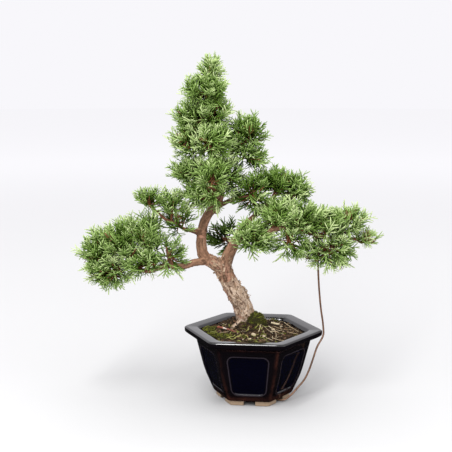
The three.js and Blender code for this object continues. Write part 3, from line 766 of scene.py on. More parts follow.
straw, tree, shader = new_material("dry_straw", 0.8)
set_colour(tree, shader, ramp(tree, attribute(tree, "tone_and_shade"), STRAW_COLOURS))
straw_litter.data.materials.append(straw)
green_straw, tree, shader = new_material("fallen_needle", 0.7)
set_colour(tree, shader, ramp(tree, attribute(tree, "tone_and_shade"), NEEDLE_COLOURS))
needle_litter.data.materials.append(green_straw)
peeled_twig, tree, shader = new_material("broken_twig", 0.7)
set_colour(tree, shader, ramp(tree, attribute(tree, "age"), TWIG_COLOURS))
bump(tree, shader, mottle(tree, 700, 3000), 0.5, 0.0004)
broken_twig.data.materials.append(peeled_twig)
for piece, slot in ((straw_litter, "soil"), (needle_litter, "foliage"), (broken_twig, "bark")):
    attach(piece, "root")

# Moss. Three cushions that grew on the soil. Each is a low lumpy body covered with small
# shoots of pointed leaves, yellow green at the tips and darker towards their roots and on the body: partly
# older leaves, partly painted shade among the shoots.

MOSS_CUSHIONS = ("moss_by_trunk", "moss_front_left", "moss_left_edge")
MOSS_VOXEL = 0.6
SHOOTS_PER_CM2 = 120
SHOOT_SHAPES = 4
SHOOT_LEAVES = 5
SHOOT_SIZES = (0.8, 1.7)
MOSS_DIP = 0.4
TUFTS = 26
SHOOTS_PER_TUFT = 11
TUFT_SPREAD = 1.1
TUFT_SIZES = (0.9, 1.7)
ALL_ROUND = 6.28
MOSS_COLOURS = [(0.0, (42, 40, 14)), (0.25, (76, 76, 24)), (0.5, (118, 126, 40)), (0.85, (184, 188, 80))]


def shoot_shape(seed):
    """A moss shoot: five narrow leaves that lean out from one root."""
    draw = random.Random(seed)
    deselect_all()
    leaves = []
    for k in range(SHOOT_LEAVES):
        turn = Matrix.Rotation(2 * math.pi * (k + draw.uniform(-0.3, 0.3)) / SHOOT_LEAVES, 4, "Z")
        lean = draw.uniform(0.25, 0.8)
        way = turn @ Vector((math.sin(lean), 0, math.cos(lean)))
        length = draw.uniform(0.7, 1.1)
        facing = way.to_track_quat("Z", "Y").to_euler()
        bpy.ops.mesh.primitive_cone_add(
            vertices=3, radius1=0.16, radius2=0, depth=length, location=way * length / 2, rotation=facing
        )
        leaves.append(bpy.context.object)
    for leaf in leaves:
        leaf.select_set(True)
    bpy.ops.object.join()
    bpy.ops.object.transform_apply(location=True, rotation=True, scale=True)
    points, faces = modelled(bpy.context.object)
    return points, faces, np.clip(points[:, 2], 0, 1)


def own_copy(node, name):
    """A merged copy of a CAD node's mesh as a new object."""
    piece = add_piece(name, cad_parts[node].data.copy())
    piece.data.materials.clear()
    select_only(piece)
    bpy.ops.object.mode_set(mode="EDIT")
    bpy.ops.mesh.select_all(action="SELECT")
    bpy.ops.mesh.remove_doubles(threshold=MERGE_WITHIN * MM)
    bpy.ops.object.mode_set(mode="OBJECT")
    return piece


def apply_modifier(piece, kind, **settings):
    bpy.context.view_layer.objects.active = piece
    modifier = piece.modifiers.new(kind.lower(), kind)
    for name, value in settings.items():
        setattr(modifier, name, value)
    bpy.ops.object.modifier_apply(modifier=modifier.name)


def shoot_turn(draw):
    """A shoot's turn about its own root."""
    return Matrix.Rotation(draw.uniform(0, ALL_ROUND), 4, "Z")


moss, tree, shader = new_material("moss", 0.85, Specular_IOR_Level=0.2)
patches = map_range(tree, mottle(tree, 200, 900), 0, 1, 0.25, 1.25)
# Each shoot darkens towards its root, partly with painted shade; the patches are the moss's own.
lit = reckon(tree, "MULTIPLY", attribute(tree, "age"), patches)
set_colour(tree, shader, ramp(tree, lit, MOSS_COLOURS))
shoot_shapes = [shoot_shape(seed) for seed in range(SHOOT_SHAPES)]
for index, node in enumerate(MOSS_CUSHIONS):
    draw = random.Random(300 + index)
    body = own_copy(node, node + "_body")
    apply_modifier(body, "REMESH", mode="VOXEL", voxel_size=MOSS_VOXEL * MM)
    apply_modifier(body, "SMOOTH", factor=0.5, iterations=4)
    lumps = points_of(body)
    swell = np.array([noise.fractal(Vector(p) * 0.3, 1, 2, 3) for p in lumps])
    lumps[:, 2] += np.where(lumps[:, 2] > SOIL_EDGE_Z + 2, 1.6 * swell - 1.2, 0.6 * swell)
    set_points(body, lumps)
    normals = np.array([vertex.normal[:] for vertex in body.data.vertices])
    faces = [tuple(face.vertices) for face in body.data.polygons]
    area = sum(face.area for face in body.data.polygons if face.normal.z > 0) * 1e4
    tops = [i for i in range(len(lumps)) if normals[i][2] > 0.05]
    places = []
    for k in range(int(area * SHOOTS_PER_CM2)):
        i = draw.choice(tops)
        lean = Vector((draw.uniform(-0.5, 0.5), draw.uniform(-0.5, 0.5), 0.5))
        up = (Vector(normals[i]) + lean).normalized()
        turn = up.to_track_quat("Z", "Y").to_matrix().to_4x4() @ shoot_turn(draw)
        spot = set_down(at(*lumps[i]) - up * MOSS_DIP * MM, turn, draw.uniform(*SHOOT_SIZES))
        places.append((1 + k % SHOOT_SHAPES, spot, draw.random()))
    body_points = np.array([vertex.co[:] for vertex in body.data.vertices])
    bpy.data.objects.remove(body)
    shapes = [(body_points, faces, np.zeros(len(body_points)))] + shoot_shapes
    cushion = planted(node + "_shoots", shapes, [(0, Matrix.Identity(4), 0.3)] + places)
    cushion.data.materials.append(moss)
    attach(cushion, "root")
    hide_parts(node)

draw = random.Random(321)
places = []
for k in range(TUFTS):
    x, y = soil_spot(draw, 3, 9)
    if x > 6 and draw.random() < 0.6:
        x, y = soil_spot(draw, 3, 9)
    for m in range(SHOOTS_PER_TUFT):
        px, py = x + draw.gauss(0, TUFT_SPREAD), y + draw.gauss(0, TUFT_SPREAD)
        if not in_pot(px, py, 1.2):
            continue
        turn = shoot_turn(draw) @ Matrix.Rotation(draw.gauss(0, 0.4), 4, "X")
        root = at(px, py, float(soil_height(px, py)) + draw.uniform(-0.2, 0.6))
        spot = set_down(root, turn, draw.uniform(*TUFT_SIZES))
        places.append((m % SHOOT_SHAPES, spot, draw.random()))
tufts = planted("moss_tufts", shoot_shapes, places)
tufts.data.materials.append(moss)
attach(tufts, "root")

# Wood. The leaning trunk with its roots, the leader, the right limb and all branches, grown as
# one piece, with flaky grey-brown bark in plates that run along each limb.
# Every limb is a list of (x, y, z, radius) in millimetres.

TRUNK = [
    (-4, 16, 42, 7.5), (-4.6, 15, 53, 8.2), (-5, 14, 61, 8.2), (-6.6, 12.6, 67, 8), (-8.6, 12, 74, 7.7),
    (-13.2, 10, 84, 7.8), (-19.2, 8, 94, 6.9), (-24, 5, 104.5, 6.9), (-28.3, 3, 111.5, 5.8),
]
LIMBS = [
    [(-26, 4, 107, 5.6), (-33, 2.5, 112.5, 5.4), (-39.5, 2.5, 116.5, 4.7), (-42, 3.5, 123, 4.3),
     (-42.4, 4.6, 132, 4.1), (-41, 5.8, 142, 3.9), (-37.4, 6, 150.5, 3.8), (-32.3, 5, 157.5, 3.8),
     (-27, 3.2, 168, 3.6), (-27, 2.2, 182, 3.7), (-31, 2, 195, 3.2), (-37, 3.8, 210, 2.8),
     (-40, 5, 223, 2.4), (-39, 4, 239, 1.9), (-36, 2, 254, 1.3), (-35, 1.2, 260, 1)],
    [(-22, 5, 101, 5), (-23, 2, 110, 5.3), (-20.5, 0, 118, 4.9), (-17, -2, 126, 4.3), (-14, -5, 133, 3.5),
     (-10, -8, 134.5, 2.8)],
    [(-16, -4, 131, 3), (-6, -10, 134, 3.1), (3, -14, 135, 2.8), (12, -16, 140, 2.6), (21, -16, 144, 2.4),
     (34, -15, 142, 2.2), (47, -14, 139, 1.9), (59, -12, 135, 1.5), (73, -10, 135, 1)],
    [(-15, -4, 131, 2.6), (-10, -2, 141, 2.6), (-1, 2, 149, 2.3), (7, 6, 155, 2), (12, 8, 161, 1.7),
     (20, 10, 168, 1.3), (29, 10, 173, 0.9)],
    [(-30, 5, 157, 2), (-18, 2, 164, 1.8), (-7, 0, 167, 1.5), (2, -2, 172, 0.9)],
    [(-31, 3, 196, 1.7), (-20, 8, 201, 1.5), (-8, 12, 208, 1.2), (2, 14, 213, 0.8)],
    [(-36, 2.4, 114, 3.4), (-49, -3, 113, 3.1), (-57, -7, 111, 2.8), (-69, -10, 112, 2.5),
     (-77, -11, 110, 2.3), (-86, -11, 108, 2.1), (-100, -9, 111, 1.7), (-114, -7, 118, 1.3),
     (-124, -5, 124, 0.9)],
    [(-41, 5, 134, 2), (-48, 1, 138, 1.7), (-58, -4, 142, 1.3), (-63, -6, 146, 1.5), (-70, -7, 149, 1.3),
     (-77, -8, 155, 1.2), (-83, -8, 160, 1), (-90, -8, 166, 0.8)],
    [(-66, -10, 112.5, 1.4), (-69, -11.5, 120, 1.1), (-70, -12, 128, 0.8)],
    [(-24, 6, 107, 3.2), (-20, 20, 117, 2.7), (-17, 34, 122, 2), (-18, 44, 124, 1.2)],
    [(-30, 6, 157, 2.2), (-36, 18, 163, 1.9), (-41, 28, 167, 1.4), (-43, 35, 169, 1)],
    [(-17, -2, 127, 2.4), (-4, 12, 135, 2.1), (8, 22, 140, 1.7), (17, 30, 143, 1.1)],
    [(-34, 3, 202, 1.8), (-31, 13, 206, 1.4), (-29, 20, 208, 1)],
    [(-26, 3, 170, 1.5), (-30, -12, 174, 1.2), (-36, -22, 177, 0.8)],
    [(-37, 3, 211, 1.3), (-40, -10, 213, 1), (-43, -18, 215, 0.7)],
    [(-42, 4.4, 137, 2.4), (-46, 3.4, 137.6, 2.7), (-48, 3, 137.8, 1.9)],
    [(-33.5, 4.4, 157, 2.6), (-29.8, 2.6, 155, 2.9), (-28, 1.8, 154, 2.1)],
]
ROOTS = [
    [(-8, 13, 61, 4), (-13, 7, 59, 2.4), (-18, 1, 56.4, 1.5), (-23, -4, 52, 0.9)],
    [(-3, 11, 59, 4.4), (-1, 3, 55, 3), (2, -7, 49, 1.8), (5, -13, 43, 1)],
    [(0, 15, 59, 4.4), (9, 14, 55, 3.2), (18, 14, 48, 2), (24, 16, 41, 1.1)],
    [(-4, 20, 59, 4.4), (-3, 28, 54, 3), (0, 34, 46, 1.6)],
    [(-9, 18, 59, 4), (-16, 25, 53, 2.6), (-21, 30, 45, 1.4)],
]
WOOD_VOXEL = 0.56
BARK_SEED = 7
PLATE_SIZE = 3.1
PLATE_STRETCH = 0.36
GREY_BELOW = 72
GREY_FADE = 8
RELIEF_SHARES = {"crack": 0.3, "plate": 0.3, "strip": 0.65, "grit": 0.4}
TWIG_BARK = ((84, 48, 32), (134, 90, 62))
LIMB_BARK = ((88, 61, 45), (166, 127, 101))
TRUNK_BARK = ((118, 91, 71), (216, 194, 172))
PINK_BARK = (186, 138, 116)
CRACK_BARK_AND_SHADE = (98, 73, 56)
FLAKES = 210
FLAKE_SHAPES = 5
FLAKE_SIZES = (1.6, 4.6)
FLAKES_FROM = {"thickness": 4.8, "z": 60}
FLAKE_DIP = 0.05
FLAKE_COLOURS = [(0.0, (124, 98, 77)), (0.5, (162, 136, 111)), (1.0, (194, 170, 146))]


def limb_line(points, spans=5):
    """The smooth middle line of a limb, with its radius at each of the line's points."""
    line = through([at(*p[:3]) for p in points], spans)
    radii = []
    for i in range(len(line)):
        span = min(i // spans, len(points) - 2)
        share = i / spans - span
        radii.append((points[span][3] * (1 - share) + points[span + 1][3] * share) * MM)
    return line, radii


limb_lines = [limb_line(points) for points in [TRUNK] + LIMBS + ROOTS]
limb_sides = [16 if radii[0] > 4 * MM else 10 for line, radii in limb_lines]
wood_parts = [(stem(line, radii, sides), 0) for (line, radii), sides in zip(limb_lines, limb_sides)]
wood = joined("wood", wood_parts)
select_only(wood)
for name in ("tone_and_shade", "age"):
    wood.data.attributes.remove(wood.data.attributes[name])
apply_modifier(wood, "REMESH", mode="VOXEL", voxel_size=WOOD_VOXEL * MM)
apply_modifier(wood, "SMOOTH", factor=0.5, iterations=3)

# Each point of the bark knows its limb: how far along it lies, and where round it
stations = []
for line, radii in limb_lines:
    along = 0
    for i, centre, tangent, normal, side in ways_along(line, Vector((1, 0, 0))):
        if i:
            along += (centre - line[i - 1]).length / MM
        stations.append((centre, radii[i] / MM, tangent, normal, side, along))
finder = kdtree.KDTree(len(stations))
for i, station in enumerate(stations):
    finder.insert(station[0], i)
finder.balance()

# Without a seed this noise would start from the clock, and the bark would differ each time
noise.seed_set(BARK_SEED)
grain_places, thickness, relief, plate_levels = [], [], [], []
for vertex in wood.data.vertices:
    centre, radius, tangent, normal, side, along = stations[finder.find(vertex.co)[1]]
    out = (vertex.co - centre) / MM
    place = Vector((out.dot(normal), out.dot(side), (along + out.dot(tangent)) * PLATE_STRETCH))
    bent = place + noise.noise_vector(place * 0.3) * 2.2 + noise.noise_vector(place * 1.1) * 0.5
    gaps, plates = noise.voronoi(bent / PLATE_SIZE)
    crack = min((gaps[1] - gaps[0]) * 5, 1)
    level = noise.cell(plates[0] * 9)
    strips = noise.fractal(Vector((bent.x * 0.7, bent.y * 0.7, bent.z * 0.22)), 0.9, 2.1, 4)
    rough = noise.fractal(place * 1.3, 0.8, 2, 3)
    forms = (crack - 0.8, level, strips, rough)
    grain_places.append(place)
    thickness.append(radius)
    plate_levels.append(min(max(0.5 + 0.5 * level + 0.25 * rough, 0), 1))
    relief.append(sum(form * share for form, share in zip(forms, RELIEF_SHARES.values())))
coarse = np.clip((np.array(thickness) - 0.6) / 6.6, 0.02, 1) ** 1.2 + 0.05
normals = np.array([vertex.normal[:] for vertex in wood.data.vertices])
bark_form = points_of(wood) + normals * (np.array(relief) * coarse)[:, None]
set_points(wood, bark_form)
store(wood, "crack", np.clip(np.array(relief) + 0.5, 0, 1))
store(wood, "plate", plate_levels)
# Near the soil the roots are as grey as the trunk
by_soil = np.clip((GREY_BELOW - bark_form[:, 2]) / GREY_FADE, 0, 1)
store(wood, "girth", np.clip(np.maximum(np.array(thickness) / 8, by_soil), 0, 1))
layer = wood.data.attributes.new("grain", "FLOAT_VECTOR", "POINT")
layer.data.foreach_set("vector", np.array([p[:] for p in grain_places], dtype=np.float32).ravel())
smooth(wood)

bark, tree, shader = new_material("juniper_bark", 0.88, Specular_IOR_Level=0.25)
grain = add_node(tree, "Attribute", attribute_name="grain").outputs["Vector"]
plates = mottle(tree, 0.35, 1.6, grain)
worn = reckon(tree, "MULTIPLY", reckon(tree, "ADD", plates, attribute(tree, "plate")), 0.5)
girth = attribute(tree, "girth")
twig_shade, limb_shade, trunk_shade = (
    mix_colours(tree, worn, *shades) for shades in (TWIG_BARK, LIMB_BARK, TRUNK_BARK)
)
shade = mix_colours(tree, map_range(tree, girth, 0.12, 0.34), twig_shade, limb_shade)
shade = mix_colours(tree, map_range(tree, girth, 0.62, 0.94), shade, trunk_shade)
patch = add_node(tree, "TexNoise", {"Vector": grain, "Scale": 0.11, "Detail": 2.0}).outputs["Fac"]
pink = reckon(tree, "MULTIPLY", map_range(tree, patch, 0.54, 0.64), 0.55)
shade = mix_colours(tree, pink, shade, PINK_BARK)
# Low parts of the relief are painted darker: partly the cracks' own darker bark, partly painted shade in
# the cracks and hollows.
low_relief_shade = map_range(tree, attribute(tree, "crack"), 0, 0.3)
set_colour(tree, shader, mix_colours(tree, low_relief_shade, CRACK_BARK_AND_SHADE, shade))
bump(tree, shader, plates, 0.7, 0.0006)
wood.data.materials.append(bark)
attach(wood, "root")
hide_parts("trunk")


def flake_shape(seed):
    """A flake of bark: a thin strip with a ragged outline that curls up at one end."""
    draw = random.Random(seed)
    deselect_all()
    bpy.ops.mesh.primitive_cube_add(size=1)
    bpy.ops.object.mode_set(mode="EDIT")
    bpy.ops.transform.resize(value=(0.42, 1, 0.1))
    bpy.ops.mesh.bisect(plane_co=(0, 0.18, 0), plane_no=(0, 1, 0))
    bpy.ops.mesh.select_all(action="SELECT")
    bpy.ops.mesh.bisect(plane_co=(0, -0.2, 0), plane_no=(0, 1, 0))
    bpy.ops.mesh.select_all(action="SELECT")
    bpy.ops.transform.vertex_random(offset=0.07, seed=seed)
    bpy.ops.object.mode_set(mode="OBJECT")
    points, faces = modelled(bpy.context.object)
    points[:, 0] *= 1 - 0.5 * np.clip(points[:, 1] + 0.2, 0, 1)
    curl = draw.uniform(0.35, 0.75) * np.clip(points[:, 1] + 0.3, 0, 1) ** 2
    points[:, 2] += curl - points[:, 0] ** 2 * 1.2
    return points, faces, np.clip(points[:, 1] + 0.5, 0, 1)


draw = random.Random(88)
bark_normals = [vertex.normal.copy() for vertex in wood.data.vertices]
thick_places = [
    i for i in range(len(thickness))
    if thickness[i] > FLAKES_FROM["thickness"] and bark_form[i][2] > FLAKES_FROM["z"]
]
flake_places = []
for k in range(FLAKES):
    i = draw.choice(thick_places)
    station = stations[finder.find(at(*bark_form[i]))[1]]
    up = (bark_normals[i] + Vector((draw.uniform(-0.3, 0.3) for axis in range(3)))).normalized()
    along = station[2] * draw.choice((-1, 1))
    along = (along - up * along.dot(up)).normalized()
    turn = Matrix((along.cross(up), along, up)).transposed().to_4x4()
    turn = turn @ Matrix.Rotation(draw.gauss(0, 0.3), 4, "Z")
    size = draw.uniform(*FLAKE_SIZES) * min(1, thickness[i] / 6)
    spot = set_down(at(*bark_form[i]) - up * FLAKE_DIP * MM, turn, size)
    flake_places.append((k % FLAKE_SHAPES, spot, draw.random()))
flakes = planted("bark_flakes", [flake_shape(seed) for seed in range(FLAKE_SHAPES)], flake_places)
flake_bark, tree, shader = new_material("peeling_bark", 0.9, Specular_IOR_Level=0.2)
set_colour(tree, shader, ramp(tree, attribute(tree, "tone_and_shade"), FLAKE_COLOURS))
bump(tree, shader, mottle(tree, 600, 3500), 0.6, 0.0004)
flakes.data.materials.append(flake_bark)
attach(flakes, "root")

# Training wire. Soft copper-coloured wire, wound round the right low branch, led down past
# the corner of the lip and under the pot, and hooked into the drain hole.

WIRE_R = 0.76
WIRE_COIL = {"centre": (48, -13.9, 138.7), "along": (0.955, 0.11, -0.27), "radius": 3}
COIL_TURNS = 1.5
COIL_PITCH = 2
COIL_STEPS = 10
WIRE_LEAD = [
    (51.2, -15.6, 128), (51.6, -14.6, 116), (52.2, -13, 104), (53.4, -11, 90), (55, -9.2, 76),
    (56.8, -7.5, 65), (57.5, -7.1, 58.5), (57.6, -7.1, 54.5), (56.4, -7.5, 51), (52.6, -8.5, 44.5),
    (49, -9.8, 34), (45.8, -11, 25), (41.8, -12, 17), (36.6, -12.6, 10.8), (31, -14.2, 5),
    (25, -16.8, 1.8), (18, -13.5, 1.2), (9, -6.5, 1.2), (3, -1.8, 2.2), (0.8, 0, 6.2),
]
WIRE_COLOURS = ((100, 72, 58), (162, 126, 102))
axis = Vector(WIRE_COIL["along"]).normalized()
up = Vector((0, 0, 1))
up = (up - axis * up.dot(axis)).normalized()
side = axis.cross(up)
coil = []
for i in range(round(COIL_TURNS * COIL_STEPS) + 1):
    turn = i / COIL_STEPS
    out = up * math.cos(2 * math.pi * turn) + side * math.sin(2 * math.pi * turn)
    coil.append(Vector(WIRE_COIL["centre"]) + axis * turn * COIL_PITCH + out * WIRE_COIL["radius"])
wire_line = through([at(*p) for p in coil] + [at(*p) for p in WIRE_LEAD], 5)
wire = joined("training_wire", [(stem(wire_line, [WIRE_R * MM] * len(wire_line), 10), 0)])
smooth(wire)
copper, tree, shader = new_material("copper_wire", 0.42, Metallic=0.55)
set_colour(tree, shader, mix_colours(tree, mottle(tree, 120, 900), *WIRE_COLOURS))
bump(tree, shader, mottle(tree, 700, 4000), 0.15, 0.0002)
wire.data.materials.append(copper)
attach(wire, "root")
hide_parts("guy_wire")

# Foliage. Each spray grows on a short shoot from its branch: brown twigs that fork, and green
# branchlets of scaly cords that fan out and upwards. Inside it is painted darker, as shade, and here and
# there it is dry.
# A spray's row holds its root, its centre and its half sizes, in millimetres.

SPRAYS = {
    "apex_tip": [(-35, 1.3, 259), (-34.5, 0, 265.5), (10.5, 9, 15.5)],
    "apex_upper_front": [(-37.8, 3.2, 245), (-39, -5, 251), (18.5, 12, 14)],
    "apex_upper_back": [(-37.8, 3.2, 245), (-37, 10, 249), (17, 10, 14)],
    "apex_middle_left": [(-40, 5, 224), (-49.5, 2, 231), (15.5, 15, 13)],
    "apex_middle_right": [(-39, 4, 228), (-30, 0, 234), (12.5, 16, 15)],
    "apex_low_left": [(-36, 4, 206), (-51.5, -2, 211.5), (15, 17, 15)],
    "apex_low_front": [(-42, -16, 214.5), (-31, -8, 211), (17, 16, 16)],
    "apex_back": [(-38, 4, 212), (-40, 17, 222), (16, 14, 18)],
    "crown_left": [(-29, 2, 186), (-52, 0, 187.5), (16, 17, 11.5)],
    "crown_front": [(-34, -19, 176), (-32, -15, 187), (15, 14, 13)],
    "crown_right": [(-29, 2, 190), (-20, 2, 183), (12, 16, 17)],
    "crown_under": [(-28, -6, 172), (-38, -8, 170.5), (17, 16, 13)],
    "shoulder_right": [(-2, 13, 211), (-6.5, 9, 215.5), (18.5, 15, 17)],
    "shoulder_low": [(-12, 10.4, 206), (-4.5, 8, 199), (16, 13, 12)],
    "middle_right": [(-1, -1, 170), (-1, 2, 168.5), (15.5, 17, 20)],
    "right_upper_inner": [(15, 8.6, 164), (20, 6, 176.5), (15.5, 16, 13)],
    "right_upper_outer": [(27, 10, 172), (33, 4, 170), (14, 14, 15)],
    "right_inner": [(-4, -11, 134), (-0.5, -17, 135.5), (18, 15, 15.5)],
    "right_middle_inner": [(12, -16, 140), (19, -13, 150.5), (17, 16, 15.5)],
    "right_middle_outer": [(28, -15.4, 143), (40, -16, 150), (16.5, 17, 16)],
    "right_low": [(24, -16, 143.6), (29.5, -19, 131.5), (16, 13, 15)],
    "right_far_inner": [(53.5, -13, 137.2), (58, -12, 146), (17, 17, 15)],
    "right_far_outer": [(68, -10.6, 135), (77, -10, 149), (16.5, 14, 12)],
    "right_far_low": [(59, -12, 135), (60, -14, 125), (24, 15, 15)],
    "right_low_tip": [(72, -10, 135), (89, -10, 134.5), (16, 9, 8)],
    "left_upper_outer": [(-84, -8, 161), (-83, -8, 164.5), (13.5, 12, 10.5)],
    "left_upper_inner": [(-66, -6.4, 147.4), (-66, -6, 161), (12, 12, 13)],
    "left_hanging": [(-56, -3, 141), (-60.5, -5, 146), (16.5, 12, 15)],
    "left_tip": [(-118, -6.2, 120.4), (-125, -5, 122), (15, 18, 19.5)],
    "left_outer_upper": [(-98, -9.4, 110.6), (-106, -6, 131), (18, 20, 18.5)],
    "left_middle_upper": [(-80, -11, 109.4), (-86, -8, 138), (15, 18, 18.5)],
    "left_outer_low": [(-106, -8, 114), (-115, -9, 106.5), (18, 17, 14)],
    "left_inner": [(-69.6, -11.8, 124), (-66, -11, 119.5), (13, 13, 17)],
    "left_dropping": [(-82, -11, 109), (-89, -15, 115), (19, 11, 13)],
    "back_low": [(-18, 43, 124), (-24, 52, 123.5), (20, 16, 16)],
    "back_middle": [(-43, 34, 169), (-45, 43, 164), (17, 17, 15)],
    "back_right": [(16, 29, 142.8), (24, 38, 148), (18, 17, 13)],
    "back_upper": [(-29, 19, 208), (-28, 28, 209), (15, 14, 11)],
}
GOLDEN_ANGLE = math.pi * (3 - math.sqrt(5))
CORD_R = 0.54
BRANCHLET_SHAPES = 6
BRANCHLET_LENGTH = 14
BRANCHLET_SIZES = (0.65, 1.15)
SIDE_CORDS = 5
TWIG_R = (0.7, 0.35)
TWIG_REACH = (0.5, 0.85)
TWIGS_PER_CM2 = 0.62
BRANCHLETS_PER_TWIG = 7
SPRAY_LIMIT = 1.16
SPRAY_RAGGED = 0.5
RAGGED_SIZE = 6
SHORTEST_SHARE = 0.42
SHORTER_BY = 0.06
AHEAD = 0.5
OUTWARD = 0.7
ALONG_SPRAY = 0.45
UPWARD = 0.4
ROOM = (6.5, 1.2, 6.5)
STRAY_EVERY = 13
STRAY_REACH = 0.4
WIRE_GAP = {"x": (48.8, 54), "z": (104, 141)}
LEAF_COLOURS = [
    (0.0, (14, 26, 1)), (0.25, (41, 63, 8)), (0.5, (88, 117, 42)), (0.78, (136, 162, 90)),
    (1.0, (186, 202, 144)),
]
LEAF_SHARES = {"mottle": 0.22, "tone_and_shade": 0.42, "light": 0.4, "age": 0.28}
DARK_WITHIN = 0.35
DEPTH_SHADE_RISE = 0.75
TONE_SCATTER = 0.16
DRY_LEAF = (112, 72, 46)
DRY_BELOW = 0.55
DRY_SHARE = 0.035
LEAF_TWIG = (112, 72, 48)
THIN_SPRAYS = {
    "back_low": 0.5, "back_middle": 0.7, "left_hanging": 0.4, "left_inner": 0.75, "left_upper_inner": 0.85,
    "right_low": 0.85, "right_low_tip": 0.9, "middle_right": 0.8, "crown_under": 0.85,
}
SHADED_SPRAYS = {
    "back_low": 1, "back_middle": 0.6, "back_right": 0.5, "middle_right": 0.5, "right_upper_inner": 0.6,
    "crown_under": 0.2, "left_hanging": 0.3, "shoulder_right": 0.4, "shoulder_low": 0.3,
}
BRIGHT_SPRAYS = {"apex_tip": 0.35, "right_far_outer": 0.3, "right_low_tip": 0.6, "right_far_low": 0.1}


def grow_cord(start, way, length, radius, steps):
    """A scaly cord: a square section that swells a little and runs out in a blunt point."""
    facing = way.to_track_quat("Z", "Y").to_euler()
    bpy.ops.mesh.primitive_circle_add(
        vertices=4, radius=radius * 0.85, fill_type="NGON", location=start, rotation=facing
    )
    here = start
    for share, width in steps:
        here = here + way * length * share
        bpy.ops.mesh.extrude_region_move(TRANSFORM_OT_translate={"value": way * length * share})
        bpy.ops.transform.resize(value=(width, width, width), center_override=here)


def branchlet_shape(seed):
    """A branchlet along +Y, flat in X and Y: a leading cord with straight side cords."""
    draw = random.Random(seed)
    deselect_all()
    bpy.ops.mesh.primitive_plane_add(size=1)
    piece = bpy.context.object
    bpy.ops.object.mode_set(mode="EDIT")
    bpy.ops.mesh.delete(type="VERT")
    length = BRANCHLET_LENGTH
    lead = Vector((draw.uniform(-0.04, 0.04), 1, draw.uniform(-0.04, 0.08))).normalized()
    grow_cord(Vector((0, 0, 0)), lead, length, CORD_R, ((0.6, 1.1), (0.4, 0.45)))
    for k in range(SIDE_CORDS):
        from_root = 0.14 + 0.7 * k / SIDE_CORDS + draw.uniform(-0.02, 0.02)
        lean = math.radians(draw.uniform(34, 56)) * (1 if k % 2 else -1)
        way = Vector((math.sin(lean), math.cos(lean), draw.uniform(-0.2, 0.35))).normalized()
        reach = length * draw.uniform(0.48, 0.7) * (1.1 - 0.55 * from_root)
        grow_cord(lead * length * from_root, way, reach, CORD_R * 0.92, ((0.7, 1.05), (0.3, 0.55)))
    bpy.ops.object.mode_set(mode="OBJECT")
    points, faces = modelled(piece)
    arch = draw.uniform(-0.002, 0.008)
    points[:, 2] += arch * points[:, 1] ** 2
    reach = np.hypot(points[:, 0] * 1.5, points[:, 1])
    return points, faces, np.clip(reach / length, 0, 1)


branchlet_shapes = [branchlet_shape(seed) for seed in range(BRANCHLET_SHAPES)]


def spray_level(point, centre, half):
    """0 at the middle of a spray's form and 1 on its outside."""
    return math.sqrt(sum(((point[k] - centre[k]) / half[k]) ** 2 for k in range(3)))


def has_room(tip, centre, half, limit):
    """Whether a branchlet's tip stays near its spray's form and near the solids' box."""
    ends = zip(at(*tip), *SOLID_BOX, ROOM)
    in_box = all(low - room * MM < place < high + room * MM for place, low, high, room in ends)
    return in_box and spray_level(tip, centre, half) < limit


def by_wire(spot):
    """Whether a leaf would hang over the top of the wire, where it's kept trimmed."""
    across = WIRE_GAP["x"][0] < spot[0] < WIRE_GAP["x"][1]
    return across and WIRE_GAP["z"][0] < spot[2] < WIRE_GAP["z"][1] and spot[1] < WIRE_LEAD[0][1]


def frame_along(way, flat_up, roll):
    """A matrix that turns +Y to a way and +Z as near to flat_up as it can, then rolls."""
    normal = flat_up - way * flat_up.dot(way)
    normal = normal.normalized() if normal.length > 1e-3 else way.orthogonal().normalized()
    turn = Matrix((way.cross(normal), way, normal)).transposed().to_4x4()
    return turn @ Matrix.Rotation(roll, 4, "Y")


def skin_area(half):
    """The outside of a form with these half sizes, in square millimetres."""
    pairs = (half[0] * half[1], half[0] * half[2], half[1] * half[2])
    return 4 * math.pi * sum(pair**1.6 / 3 for pair in pairs) ** (1 / 1.6)


